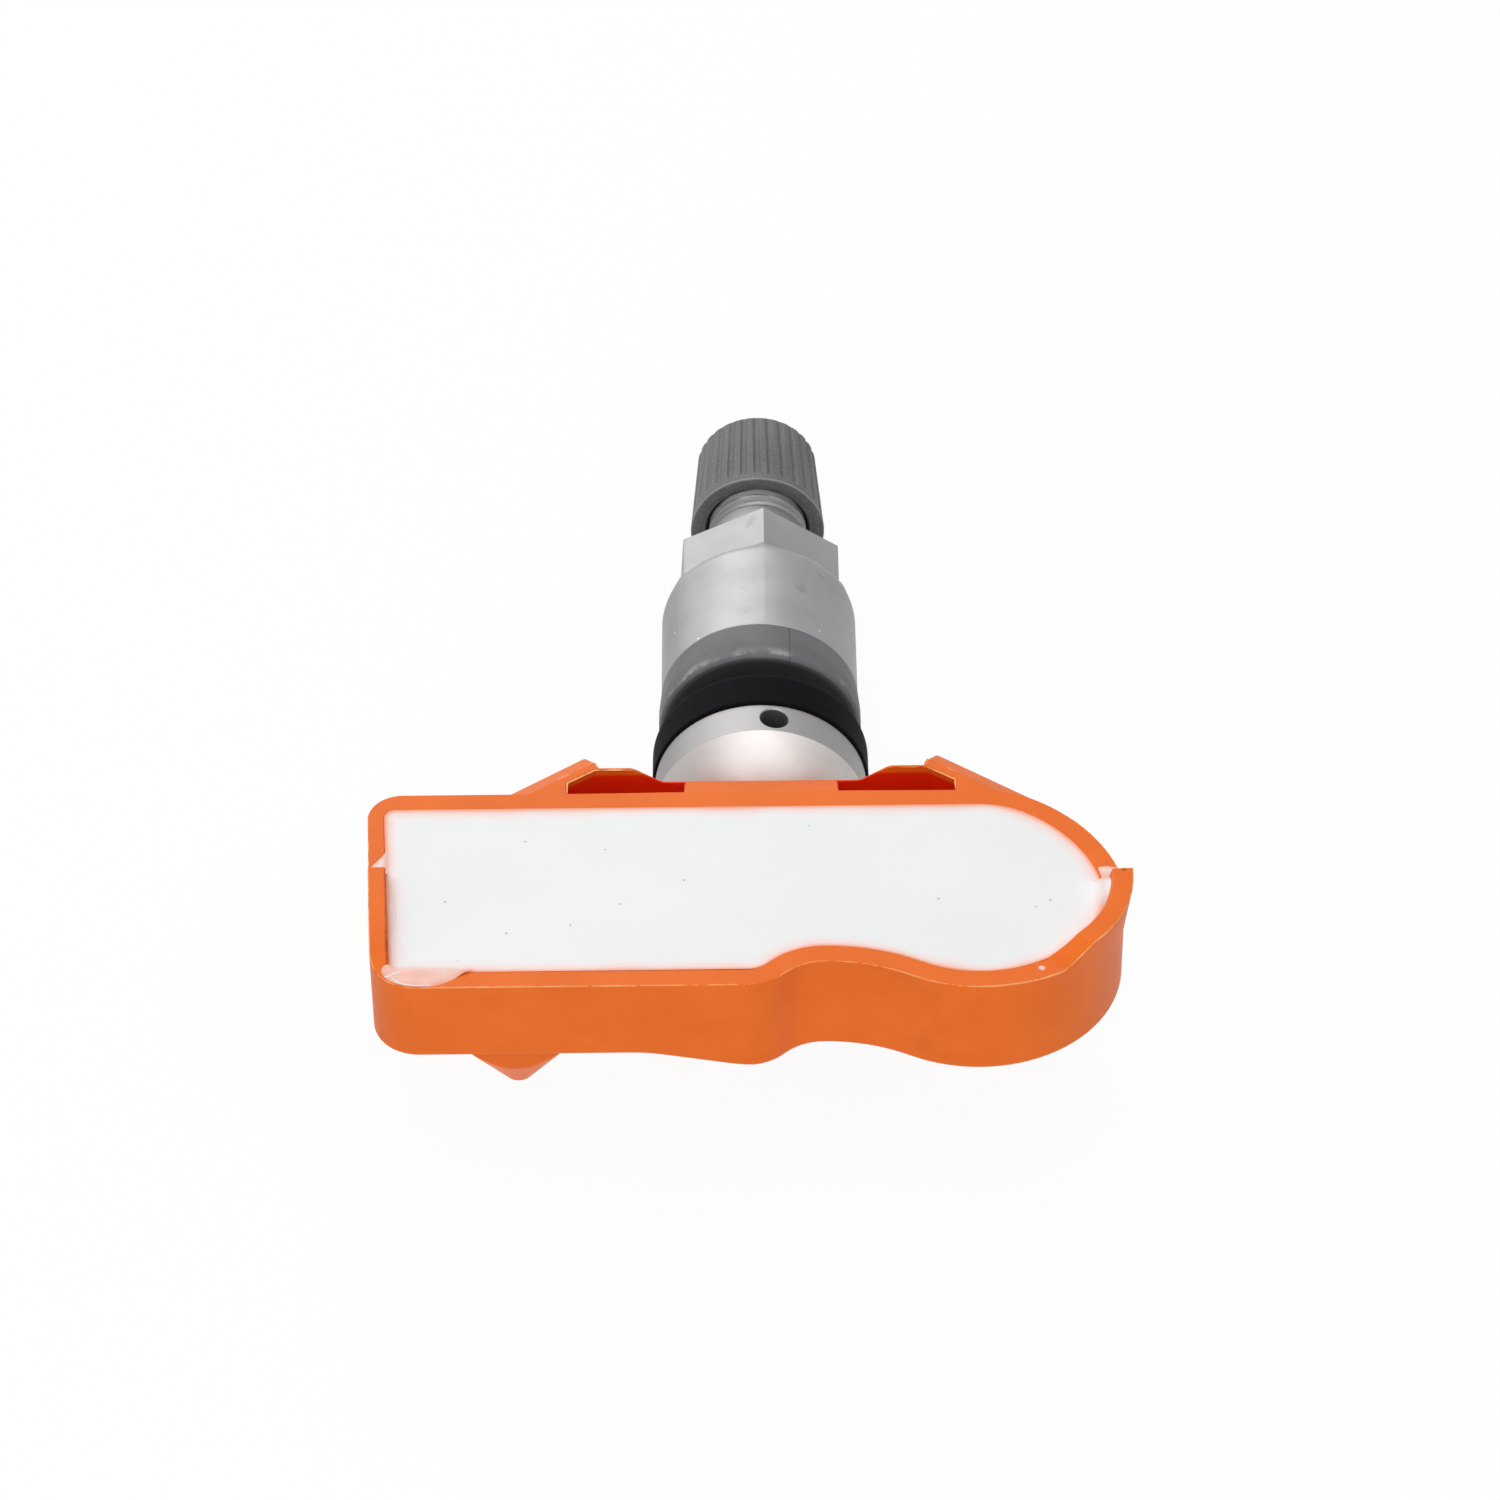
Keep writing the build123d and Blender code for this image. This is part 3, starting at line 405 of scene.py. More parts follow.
def ringFinish():
    # grey plastic with a chalky lower edge, the mould's parting line and painted shade on its near face by the grommet
    spec = {"colour": (0.138, 0.140, 0.147), "dark": (0.112, 0.114, 0.120), "chalk": (0.52, 0.53, 0.55),
            "line": (0.035, 0.035, 0.037), "lineTurn": 17.5, "lineWide": 0.06, "lineStrength": 0.75,
            "face": 2.26, "shadeFaceEase": 0.12, "shadeFaceStrength": 0.85, "chalkBand": (2.45, 2.7, 3.6), "chalkStrength": 0.7,
            "span": (0.25, 0.75), "roughness": (0.5, 0.64), "depth": 0.006}
    material, tree, shader = newMaterial("greyRing", Specular_IOR_Level=0.35)
    grain = useGroup(tree, mouldGrain, Fine=7000.0, Slow=300.0)
    tone = mixColour(tree, grain["Drift"], spec["colour"], spec["dark"])
    x, y, z = splitAxes(tree, objectPoint(tree))
    start, full, end = (edge * mm for edge in spec["chalkBand"])
    band = times(tree, remap(tree, y, start, full), remap(tree, y, full, end, 1.0, 0.0))
    patches = useGroup(tree, smudges, Scale=520.0, Low=0.5, High=0.74)["Mask"]
    tone = mixColour(tree, times(tree, band, patches, spec["chalkStrength"]), tone, spec["chalk"])
    # painted shade: the near face by the grommet gets the parting line's dark colour, for the shade in the gap
    under = remap(tree, y, spec["face"] * mm, (spec["face"] + spec["shadeFaceEase"]) * mm, spec["shadeFaceStrength"], 0.0)
    tone = mixColour(tree, under, tone, spec["line"])
    turn = math.radians(spec["lineTurn"])
    across = mathNode(tree, "SUBTRACT", times(tree, x, math.cos(turn)), times(tree, z, math.sin(turn)))
    tone = mixColour(tree, softLine(tree, across, spec["lineWide"], spec["lineStrength"]), tone, spec["line"])
    dress(tree, shader, tone, grain["Height"], spec["span"], spec["roughness"], spec["depth"])
    return material


def metalFinish(name, colour, dark, roughness, pitch=9000.0, depth=0.004, marks=None, paintedLightZones=()):
    spec = {"stain": (0.10, 0.10, 0.10), "stainEase": 0.12, "scuff": (0.85, 0.85, 0.85), "scuffStrength": 0.6,
            "span": (0.3, 0.7), "spread": (-0.05, 0.07)}
    material, tree, shader = newMaterial(name, Metallic=1.0)
    lines = useGroup(tree, turnedLines, Pitch=pitch)
    tone = mixColour(tree, lines["Band"], colour, dark)
    for start, ease, shade in paintedLightZones:  # painted light: each length along the valve axis gets its own tone
        y = splitAxes(tree, objectPoint(tree))[1]
        tone = mixColour(tree, remap(tree, y, start * mm, (start + ease) * mm), tone, shade)
    if marks:
        scale, low, strength = marks
        tone = marked(tree, tone, spec["stain"], strength, smudges, Scale=scale, Low=low, High=low + spec["stainEase"])
        tone = marked(tree, tone, spec["scuff"], spec["scuffStrength"], scatter, Spacing=1100.0, Size=0.14, Share=0.035)
    roughness = [roughness + off for off in spec["spread"]]
    dress(tree, shader, tone, lines["Height"], spec["span"], roughness, depth)
    return material


def housingFinish():
    # orange plastic with painted shade: deeper red in the pockets, dark on the lip's inner face and at its step, and a
    # dark pinhole spot
    spec = {"colour": (0.85, 0.162, 0.012), "dark": (0.80, 0.146, 0.010), "stain": (0.50, 0.08, 0.010),
            "pocketShadeColour": (0.82, 0.030, 0.002), "shade": (0.40, 0.050, 0.008), "hole": (0.08, 0.010, 0.004),
            "span": (0.25, 0.75), "roughness": (0.38, 0.54), "depth": 0.004, "stainStrength": 0.4,
            "pocketX": (5.45, 13.95, 0.1), "pocketY": (-17.35, -14.62, 0.1), "pocketZ": (5.0, 10.5, 0.3),
            "lipFace": (26.8, 17.25, 0.0546), "lipRun": (-0.1, 0.4, 0.07), "lipY": (-35.2, -26.1, 0.6),
            "lipZ": (11.45, 12.1, 0.2), "stepX": (-26.3, -26.2), "stepY": (-26.05, -25.95, 0.04), "stepZ": (11.3, 11.5),
            "broken": (0.35, 0.6, 0.55, 0.95), "pinhole": (25.2, -27.45, 12.45), "holeEdge": (0.08, 0.18),
            "holeStrength": 0.8}
    material, tree, shader = newMaterial("housingOrange", Specular_IOR_Level=0.2)
    grain = useGroup(tree, mouldGrain, Fine=9000.0, Slow=210.0)
    tone = mixColour(tree, grain["Drift"], spec["colour"], spec["dark"])
    tone = marked(tree, tone, spec["stain"], spec["stainStrength"], smudges, Scale=150.0, Low=0.66, High=0.80)
    point = objectPoint(tree)
    x, y, z = splitAxes(tree, point)

    def between(value, low, high, ease):
        rise = remap(tree, value, (low - ease) * mm, low * mm)
        return times(tree, rise, remap(tree, value, high * mm, (high + ease) * mm, 1.0, 0.0))
    # painted shade: the pockets' inside is painted a deeper red for the shade deep inside them
    pocketShadeMask = times(tree, between(mathNode(tree, "ABSOLUTE", x), *spec["pocketX"]), between(y, *spec["pocketY"]),
                   between(z, *spec["pocketZ"]))
    tone = mixColour(tree, pocketShadeMask, tone, spec["pocketShadeColour"])
    # painted shade on the lip's inner face and a painted shadow line along its step, broken by noise
    offX, offY, skew = spec["lipFace"]  # the square end's inner face leans
    lean = times(tree, mathNode(tree, "ADD", y, offY * mm), skew)
    run = mathNode(tree, "ADD", lean, mathNode(tree, "ADD", x, offX * mm))
    face = times(tree, between(run, *spec["lipRun"]), between(y, *spec["lipY"]), between(z, *spec["lipZ"]))
    outside = remap(tree, x, *(edge * mm for edge in spec["stepX"]), 1.0, 0.0)
    above = remap(tree, z, *(edge * mm for edge in spec["stepZ"]))
    stepShadow = times(tree, between(y, *spec["stepY"]), outside, above)
    broken = noiseAt(tree, point, Scale=1500.0, Detail=3.0).outputs["Fac"]
    shade = times(tree, mathNode(tree, "MAXIMUM", face, stepShadow), remap(tree, broken, *spec["broken"]))
    tone = mixColour(tree, shade, tone, spec["shade"])
    # painted shade: a dark spot stands for the shade inside a pinhole
    reach = addNode(tree, "ShaderNodeVectorMath", {"operation": "DISTANCE"})  # pinhole at the round end's step
    tree.links.new(point, reach.inputs[0])
    reach.inputs[1].default_value = [c * mm for c in spec["pinhole"]]
    hole = remap(tree, reach.outputs["Value"], *(edge * mm for edge in spec["holeEdge"]), spec["holeStrength"], 0.0)
    tone = mixColour(tree, hole, tone, spec["hole"])
    dress(tree, shader, tone, grain["Height"], spec["span"], spec["roughness"], spec["depth"])
    return material


def pottingFinish():
    # white compound through which the orange wall shows where it is thin
    spec = {"white": (0.84, 0.85, 0.85), "shade": (0.815, 0.825, 0.83), "atWall": (0.86, 0.30, 0.15),
            "thin": ((0.10, (0.90, 0.47, 0.36)), (0.26, (0.89, 0.67, 0.63)), (0.55, (0.86, 0.79, 0.785))),
            "speck": (0.30, 0.31, 0.32), "speckStrength": 0.75, "span": (0.3, 0.7), "roughness": (0.30, 0.42),
            "depth": 0.006}
    material, tree, shader = newMaterial("pottingWhite", Specular_IOR_Level=0.4)
    grain = useGroup(tree, mouldGrain, Fine=2600.0, Slow=120.0)
    tone = mixColour(tree, grain["Drift"], spec["white"], spec["shade"])
    wall = addNode(tree, "ShaderNodeAttribute", {"attribute_name": "wallGap"}).outputs["Fac"]
    ramp = addNode(tree, "ShaderNodeValToRGB")
    stops = ramp.color_ramp.elements
    stops[0].position, stops[0].color = 0.0, (*spec["atWall"], 1)
    stops[1].position, stops[1].color = 1.0, (*spec["white"], 1)
    for place, colour in spec["thin"]:
        stops.new(place).color = (*colour, 1)
    tree.links.new(wall, ramp.inputs["Fac"])
    tone = mixColour(tree, remap(tree, wall, 0.7, 1.0), ramp.outputs["Color"], tone)
    tone = marked(tree, tone, spec["speck"], spec["speckStrength"], scatter, Spacing=900.0, Size=0.13, Share=0.09)
    dress(tree, shader, tone, grain["Height"], spec["span"], spec["roughness"], spec["depth"])
    return material


# plastics: colour, second tone, roughness, scale and depth of the grain, share of dust
# metals: colour, second tone, roughness, pitch and depth of the lines
# marks: scale, lower limit and strength of stains; paintedLightZones: start, ease and tone of painted light;
# wornHighlight: place, width and tone of a pale edge line of wear and painted highlight
finishes = {
    "housing_plastic": housingFinish(),
    "potting_compound": pottingFinish(),
    # turned alloy with painted light: the band and shank above the ball darker than the ball, and the thread darker
    # still as painted shade and painted reflection of the dark cap and nut
    "stem_alloy": metalFinish("turnedAlloy", (0.53, 0.505, 0.495), (0.49, 0.465, 0.455), 0.5, 11000.0, 0.003,
                              marks=(300.0, 0.66, 0.25),
                              paintedLightZones=((-6.58, 0.06, (0.295, 0.291, 0.288)), (2.0, 0.5, (0.24, 0.24, 0.24)))),
    "nut_alloy": metalFinish("blastedAlloy", (0.315, 0.31, 0.315), (0.285, 0.282, 0.287), 0.48, 16000.0, 0.002,
                             marks=(380.0, 0.64, 0.45)),
    "black_rubber": plasticFinish("blackRubber", (0.0045, 0.0045, 0.0058), (0.006, 0.006, 0.0072), 0.62, 5000.0, 0.006,
                                  dust=0.006, gloss=0.03),
    "grey_plastic": ringFinish(),
    # grey cap; the pale line at its mouth edge is wear and a painted highlight
    "cap_plastic": plasticFinish("capGrey", (0.15, 0.151, 0.154), (0.12, 0.121, 0.124), 0.6, 5200.0, 0.010,
                                 dust=0.02, gloss=0.3, pale=(0.23, 0.232, 0.236),
                                 wornHighlight=(26.9, 0.1, (0.34, 0.34, 0.35))),
    "screw_steel": metalFinish("platedSteel", (0.55, 0.55, 0.56), (0.48, 0.48, 0.49), 0.32),
    "seal_rubber": plasticFinish("sealRubber", (0.02, 0.02, 0.02), (0.03, 0.03, 0.03), 0.6, 5000.0, 0.006),
    "core_brass": metalFinish("coreBrass", (0.70, 0.50, 0.22), (0.60, 0.42, 0.18), 0.30),
    "pin_steel": metalFinish("pinSteel", (0.60, 0.59, 0.58), (0.52, 0.51, 0.50), 0.28),
    "board_laminate": plasticFinish("boardGreen", (0.02, 0.12, 0.045), (0.015, 0.09, 0.035), 0.4, 3000.0, 0.004),
    "chip_plastic": plasticFinish("chipBlack", (0.02, 0.02, 0.022), (0.03, 0.03, 0.032), 0.5, 6000.0, 0.005),
    "cell_steel": metalFinish("cellSteel", (0.62, 0.62, 0.60), (0.55, 0.55, 0.54), 0.3),
    "tab_steel": metalFinish("tabNickel", (0.58, 0.57, 0.54), (0.52, 0.51, 0.48), 0.3),
    "coil_ferrite": plasticFinish("coilFerrite", (0.05, 0.045, 0.045), (0.10, 0.06, 0.03), 0.5, 4000.0, 0.006),
    "antenna_brass": metalFinish("antennaBrass", (0.72, 0.54, 0.27), (0.64, 0.47, 0.22), 0.3),
    "capacitor_ceramic": plasticFinish("capacitorTan", (0.36, 0.24, 0.13), (0.30, 0.20, 0.11), 0.5, 5000.0, 0.004),
}
for node in cadNodes.values():
    for i, old in enumerate(node.data.materials):
        if old and old.name in finishes:
            node.data.materials[i] = finishes[old.name]
print("finishes ready", len(finishes))

# valve stem: ball head, shank, thread and core bore
stemSpec = {"threadR": 3.85, "threadDepth": 0.42, "pitch": 0.79375, "threads": ((8.0, 19.5), (25.2, 33.4)),
            "threadRows": 10, "flank": 2.6, "crest": 0.15, "headR": 7.85, "bandTop": -3.64, "bandLow": -6.54,
            "bandRows": 8, "bandStep": 0.32, "bandRound": 0.12, "ballR": 8.6, "ballRows": 22, "pivot": -3.027,
            "seatR": 2.02, "seatY": -6.43, "seatEdgeR": 2.1, "seatEdge": 0.12, "columns": 96,
            "shank": [(4.32, -3.64), (4.3, -3.6), (4.3, 1.45), (3.85, 1.9), (3.85, 7.9)],
            "mouth": [(3.85, 33.5), (3.72, 33.66), (3.42, 33.95), (3.3, 34.0), (2.75, 34.0), (2.6, 33.88)],
            "bore": [(2.6, 28.0), (2.05, 27.0), (2.05, 13.5), (1.3, 12.75), (1.3, -4.2), (1.3, -6.1), (0.0, -6.14)],
            "portY": -5.09, "portTurn": 7.6, "portColumns": 48,
            "port": [(0.0, 0.0), (1.05, 0.0), (1.05, 7.72), (1.2, 7.88), (1.2, 9.0), (0.0, 9.0)]}


def stemThread(r, y, angle):
    s = stemSpec
    if abs(r - s["threadR"]) > 1e-4:
        return r, y
    for low, high in s["threads"]:
        if low < y < high:
            phase = (y / s["pitch"] - angle / fullTurn) % 1.0
            flank = min(1.0, max(0.0, s["flank"] * abs(phase - 0.5) - s["crest"]))
            fade = min(1.0, (y - low) / s["pitch"], (high - y) / (0.5 * s["pitch"]))
            return r - s["threadDepth"] * flank * fade, y
    return r, y


def buildStem():
    s = stemSpec
    ball = s["pivot"] - math.sqrt(s["ballR"] ** 2 - s["seatR"] * s["seatR"])
    outer = [(s["seatR"], s["seatY"]), (s["seatR"], ball + s["seatEdge"])]
    first, last = math.asin(s["seatEdgeR"] / s["ballR"]), math.asin(s["headR"] / s["ballR"])
    for k in range(s["ballRows"] + 1):
        turn = first + (last - first) * k / s["ballRows"]
        outer.append((s["ballR"] * math.sin(turn), s["pivot"] - s["ballR"] * math.cos(turn)))
    outer += [(s["headR"], s["bandLow"] + s["bandStep"] * k) for k in range(1, s["bandRows"] + 1)]
    outer += roundedCorner((s["headR"], s["bandTop"]), (s["headR"], s["bandLow"]), s["shank"][0], s["bandRound"], 4)
    outer += s["shank"]
    for low, high in s["threads"]:
        rows = int((high - low) / s["pitch"] * s["threadRows"])
        outer += [(s["threadR"], low + (high - low) * k / rows) for k in range(rows + 1)]
    outer += s["mouth"] + s["bore"] + [(0.0, s["seatY"])]
    piece = weld(newPiece("valveStem", *turned(outer, s["columns"], stemThread)))
    drill = weld(newPiece("portDrill", *turned(s["port"], s["portColumns"])))
    turn = math.radians(s["portTurn"])
    lean = Vector((0, 1, 0)).rotation_difference(Vector((math.sin(turn), 0, math.cos(turn))))
    drill.matrix_world = Matrix.Translation((0, s["portY"] * mm, 0)) @ lean.to_matrix().to_4x4()
    cut = piece.modifiers.new("port", "BOOLEAN")
    cut.operation, cut.solver, cut.object = "DIFFERENCE", "EXACT", drill
    bakeModifiers(piece)
    bpy.data.objects.remove(drill)
    seat(piece, "stem_alloy", "valve", ["valve_stem"], smooth=24)


buildStem()

# rubber grommet and grey ring: profiles of radius, y and edge round
grommetSpec = {"profile": [(4.32, -3.62, 0.05), (8.05, -3.62, 0.22), (8.05, 0.0, 0.7), (5.65, 0.0, 0.35),
                           (5.65, 1.9, 0.4), (4.32, 1.9, 0.1)], "roundSteps": 6, "columns": 128,
               "sag": 0.05, "sagFrom": 7.9, "sagY": -1.7, "sagWide": 0.8}
ringSpec = {"profile": [(4.0, 2.2, 0.1), (7.6, 2.2, 0.55), (7.6, 4.2, 0.6), (7.45, 6.2, 0.16), (4.6, 6.2, 0.05),
                        (4.6, 7.4, 0.15), (4.0, 7.4, 0.1)], "roundSteps": 6, "columns": 160}


def buildGrommet():
    s = grommetSpec

    def sag(r, y, angle):
        hollow = s["sag"] * math.exp(-((y - s["sagY"]) / s["sagWide"]) ** 2)
        return (r - hollow if r > s["sagFrom"] else r), y
    piece = weld(newPiece("rimGrommet", *turned(roundedLoop(s["profile"], s["roundSteps"]), s["columns"], sag)))
    seat(piece, "black_rubber", "valve", ["grommet"])


def buildRing():
    s = ringSpec
    piece = weld(newPiece("greyRing", *turned(roundedLoop(s["profile"], s["roundSteps"]), s["columns"])))
    seat(piece, "grey_plastic", "ring", ["rim_ring"])


buildGrommet()
buildRing()

# collar nut: sleeve, round shoulder and hexagon
nutSpec = {"sleeveR": 7.43, "near": 6.22, "shoulder": 14.97, "arc": 3.3, "far": 21.12, "apothem": 6.0, "boreR": 3.9,
           "recessR": 4.65, "recessTop": 7.47, "recessEdge": 0.1, "nearRound": 0.14, "cornerTurn": 3.7,
           "cornerRound": 0.16, "edge": 0.12, "flatColumns": 15, "creaseBow": 0.05, "creaseTurn": 0.035,
           "creaseRun": 0.16, "creaseSteps": (0.25, 0.5, 0.75, 1.0), "edgeTurns": (0.5, 1.05, 1.5708), "faceR": 5.2,
           "boreFlare": (0.3, 0.25), "cornerColumns": 4, "sleeveRows": 8, "shoulderRows": 10, "flatRows": 4}


def hexColumns():
    # angle round the axis and radius of the hexagon there, corner after corner
    s = nutSpec
    half = math.radians(30)
    bow, steps = s["cornerRound"], s["cornerColumns"]
    core = (s["apothem"] - bow) / math.cos(half)
    sector = []
    for k in range(steps + 1):
        turn = half * k / steps
        x, y = core + bow * math.cos(turn), bow * math.sin(turn)
        sector.append((math.atan2(y, x), math.hypot(x, y)))
    edge = sector[-1][0]
    middle = [(edge + (2 * half - 2 * edge) * k / s["flatColumns"]) for k in range(1, s["flatColumns"])]
    sector += [(a, s["apothem"] / math.cos(a - half)) for a in middle]
    sector += [(2 * half - a, r) for a, r in reversed(sector[1:steps + 1])]
    return [(math.radians(s["cornerTurn"]) + 2 * half * k + a, r) for k in range(6) for a, r in sector]


def nutLoop(hexR, cornerR):
    # the shoulder runs out into each flat along a nearly straight crease
    s = nutSpec
    sleeveR, near, shoulder, far, edge = s["sleeveR"], s["near"], s["shoulder"], s["far"], s["edge"]
    runOut = lambda r: math.acos(1 - (sleeveR - r) / s["arc"])  # the shoulder's turn down to a radius
    meet = runOut(cornerR)
    drop = (sleeveR - hexR) / (1 - math.cos(meet))
    reach = s["arc"] * (1 + s["creaseBow"] * (math.sin(runOut(hexR)) / math.sin(meet) - 1))
    meetY = shoulder + reach * math.sin(meet)
    loop = [(s["boreR"], s["recessTop"]), (s["recessR"], s["recessTop"]), (s["recessR"], near + s["recessEdge"]),
            (s["recessR"] + s["recessEdge"], near)]
    loop += roundedCorner((sleeveR, near), (s["recessR"], near), (sleeveR, shoulder), s["nearRound"], 4)
    rows = s["sleeveRows"]
    loop += [(sleeveR, near + (shoulder - near) * k / rows) for k in range(1, rows + 1)]
    last, rows = meet - s["creaseTurn"], s["shoulderRows"]
    turns = [last * k / rows for k in range(1, rows + 1)]
    loop += [(sleeveR - drop * (1 - math.cos(t)), shoulder + reach * math.sin(t)) for t in turns]
    a, b, c = Vector(loop[-1]), Vector((hexR, meetY)), Vector((hexR, meetY + s["creaseRun"]))
    loop += [tuple(a * (1 - t) ** 2 + b * 2 * t * (1 - t) + c * t * t) for t in s["creaseSteps"]]
    rows = s["flatRows"]
    loop += [(hexR, c.y + (far - edge - c.y) * k / rows) for k in range(1, rows + 1)]
    loop += [(hexR - edge * (1 - math.cos(t)), far - edge * (1 - math.sin(t))) for t in s["edgeTurns"]]
    out, down = s["boreFlare"]
    return loop + [(s["faceR"], far), (s["boreR"] + out, far), (s["boreR"], far - down)]


def buildNut():
    columns = hexColumns()
    loops = [nutLoop(hexR, columns[0][1]) for angle, hexR in columns]
    verts = [columnPoint(r, y, angle) for (angle, hexR), loop in zip(columns, loops) for r, y in loop]
    piece = weld(newPiece("collarNut", verts, columnFaces(len(columns), len(loops[0]))))
    seat(piece, "nut_alloy", "nut", ["collar_nut"], smooth=25)


buildNut()

# dust cap: thirty flutes over a plain band, with a thread inside
capSpec = {"near": 26.8, "far": 35.89, "baseR": 5.25, "topR": 4.65, "band": 0.9, "bandEase": (0.15, 0.4), "edge": 0.7,
           "nearRound": 0.16, "flutes": 30, "fluteR": 0.28, "fluteDepth": 0.2, "fluteFrom": 3.3, "boreR": 3.9,
           "boreTop": 35.04, "ridge": 0.03, "ridgeRows": 66, "ridgeFrom": 0.7, "ridgeStep": 0.11, "ridgeTurn": 1.9,
           "boreColumns": 72, "boreMouth": [(4.5, 0.0), (4.3, 0.02), (4.05, 0.25), (3.95, 0.6)],
           "boreEnd": [(3.9, -0.1), (3.6, 0.0), (0.0, 0.0)], "mouth": [(4.25, 0.06), (4.4, 0.0)], "wallY": 30.0,
           "top": [(3.2, 0.0), (2.0, 0.0), (0.9, -0.02), (0.0, -0.02)],
           "rows": [27.25, 27.45, 27.6, 27.7, 27.8, 27.9, 28.0, 28.15, 28.4] + [28.8 + 0.6 * k for k in range(11)],
           "fluteColumns": [0.0, 0.07, 0.13, 0.18, 0.22, 0.255, 0.32, 0.5]}


def buildCap():
    s = capSpec
    near, far = s["near"], s["far"]
    lean = (s["baseR"] - s["topR"]) / (far - near)
    wall = lambda y: s["baseR"] - lean * (y - near)
    onWall = (wall(s["wallY"]), s["wallY"])
    loop = [(r, near + up) for r, up in s["mouth"]]
    loop += roundedCorner((s["baseR"], near), loop[-1], onWall, s["nearRound"], 5)
    loop += [(wall(y), y) for y in s["rows"]]
    loop += roundedCorner((wall(far), far), onWall, (0.0, far), s["edge"], 8)
    loop += [(r, far + up) for r, up in s["top"]]
    pitch = fullTurn / s["flutes"]
    before, ease = s["bandEase"]

    def flute(r, y, angle):
        if r < s["fluteFrom"] or y < near + s["band"] - before:
            return r, y
        offset = (angle + pitch / 2) % pitch - pitch / 2
        centre = wall(y) + s["fluteR"] - s["fluteDepth"]
        side = s["fluteR"] ** 2 - (centre * math.sin(offset)) ** 2
        if side <= 0:
            return r, y
        groove = centre * math.cos(offset) - math.sqrt(side)
        gap = (wall(y) - groove) * eased((y - near - s["band"] + before) / ease)
        return min(r, wall(y) - max(gap, 0.0)), y
    offsets = [-f for f in reversed(s["fluteColumns"][1:-1])] + s["fluteColumns"]
    columns = [pitch * (k + f) % fullTurn for k in range(s["flutes"]) for f in offsets]
    verts, faces = turned(loop, columns, flute, closed=False)
    bore = [(r, near + up) for r, up in s["boreMouth"]]
    for k in range(s["ridgeRows"]):
        ridge = s["ridge"] + s["ridge"] * math.cos(k * s["ridgeTurn"])
        bore.append((s["boreR"] + ridge, near + s["ridgeFrom"] + s["ridgeStep"] * k))
    bore += [(r, s["boreTop"] + up) for r, up in s["boreEnd"]]
    boreVerts, boreFaces = turned(bore, s["boreColumns"], closed=False)
    shift = len(verts)
    faces += [tuple(n + shift for n in reversed(face)) for face in boreFaces]
    piece = weld(newPiece("dustCap", verts + boreVerts, faces))
    seat(piece, "cap_plastic", "cap", ["valve_cap"], smooth=40)


buildCap()

# small turned parts that show when the cap is off or from below: name, broken edge and body
smallSpec = {"fixing_screw": ("fixingScrew", 0.07, "valve"), "core_plug": ("corePlug", 0.05, "valve"),
             "core_pin": ("corePin", 0.04, "pin"), "core_spring": ("coreSpring", 0.03, "valve")}
for node, (name, width, body) in smallSpec.items():
    piece = softCopy(node, name, width)
    slot = next(key for key, finish in finishes.items() if finish == cadNodes[node].data.materials[0])
    seat(piece, slot, body, [node])
    if node == "core_spring":  # the spring shortens as the pin is pressed; here it only gets a mesh of its own
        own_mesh(piece)

# housing: the moulded tray with broken edges and its flash line
housingSpec = {"edge": 0.11, "middleY": -27.5, "rimLow": 11.15, "frontTo": -20.0, "earFromX": 9.0, "earFromY": -17.0,
               "flashStep": 0.12, "flashWide": 0.13, "flashSunk": 0.06, "flashSkin": 0.012, "flashLeast": 0.45,
               "flashMean": 0.62, "ragged": ((1.1, (0, 0, 0), 0.5), (3.7, (4, 9, 2), 0.35), (0.25, (0, 0, 0), 0.4)),
               "colour": (0.90, 0.42, 0.16), "dark": (0.90, 0.27, 0.06), "upright": 0.35, "flat": 0.8, "earFlat": 0.9}


def chainEdges(pairs):
    # joins point pairs into open or closed runs
    links = {}
    for a, b in pairs:
        links.setdefault(a, []).append(b)
        links.setdefault(b, []).append(a)
    runs = []
    while links:
        start = next((p for p, n in links.items() if len(n) == 1), next(iter(links)))
        run = [start]
        while True:
            here = run[-1]
            ways = links.get(here)
            if not ways:
                links.pop(here, None)
                break
            there = ways.pop()
            if not ways:
                links.pop(here)
            back = links.get(there, [])
            if here in back:
                back.remove(here)
                if not back:
                    links.pop(there)
            run.append(there)
        runs.append(run)
    return runs


def rimEdges():
    # the outer top edges of the tray and the ears, read from the solid
    s = housingSpec
    bm = cadSurface("housing")
    pairs = []
    for e in bm.edges:
        if len(e.link_faces) != 2 or min(v.co.z for v in e.verts) < s["rimLow"] * mm:
            continue
        up, side = sorted(e.link_faces, key=lambda f: -f.normal.z)
        middle = (e.verts[0].co + e.verts[1].co) / 2
        outward = Vector((side.normal.x, side.normal.y, 0))
        away = middle - Vector((0, s["middleY"] * mm, middle.z))
        front = middle.y < s["frontTo"] * mm and abs(side.normal.z) < s["upright"] and outward.dot(away) > 0
        beside = middle.y > s["earFromY"] * mm and abs(middle.x) > s["earFromX"] * mm
        if up.normal.z > s["flat"] and (front or beside and side.normal.z < s["earFlat"]):
            pairs.append([tuple(round(c / mm, 3) for c in v.co) for v in e.verts])
    bm.free()
    return chainEdges(pairs)


def buildHousing():
    piece = softCopy("housing", "trayHousing", housingSpec["edge"])
    seat(piece, "housing_plastic", "sensor_housing", ["housing"], smooth=34)


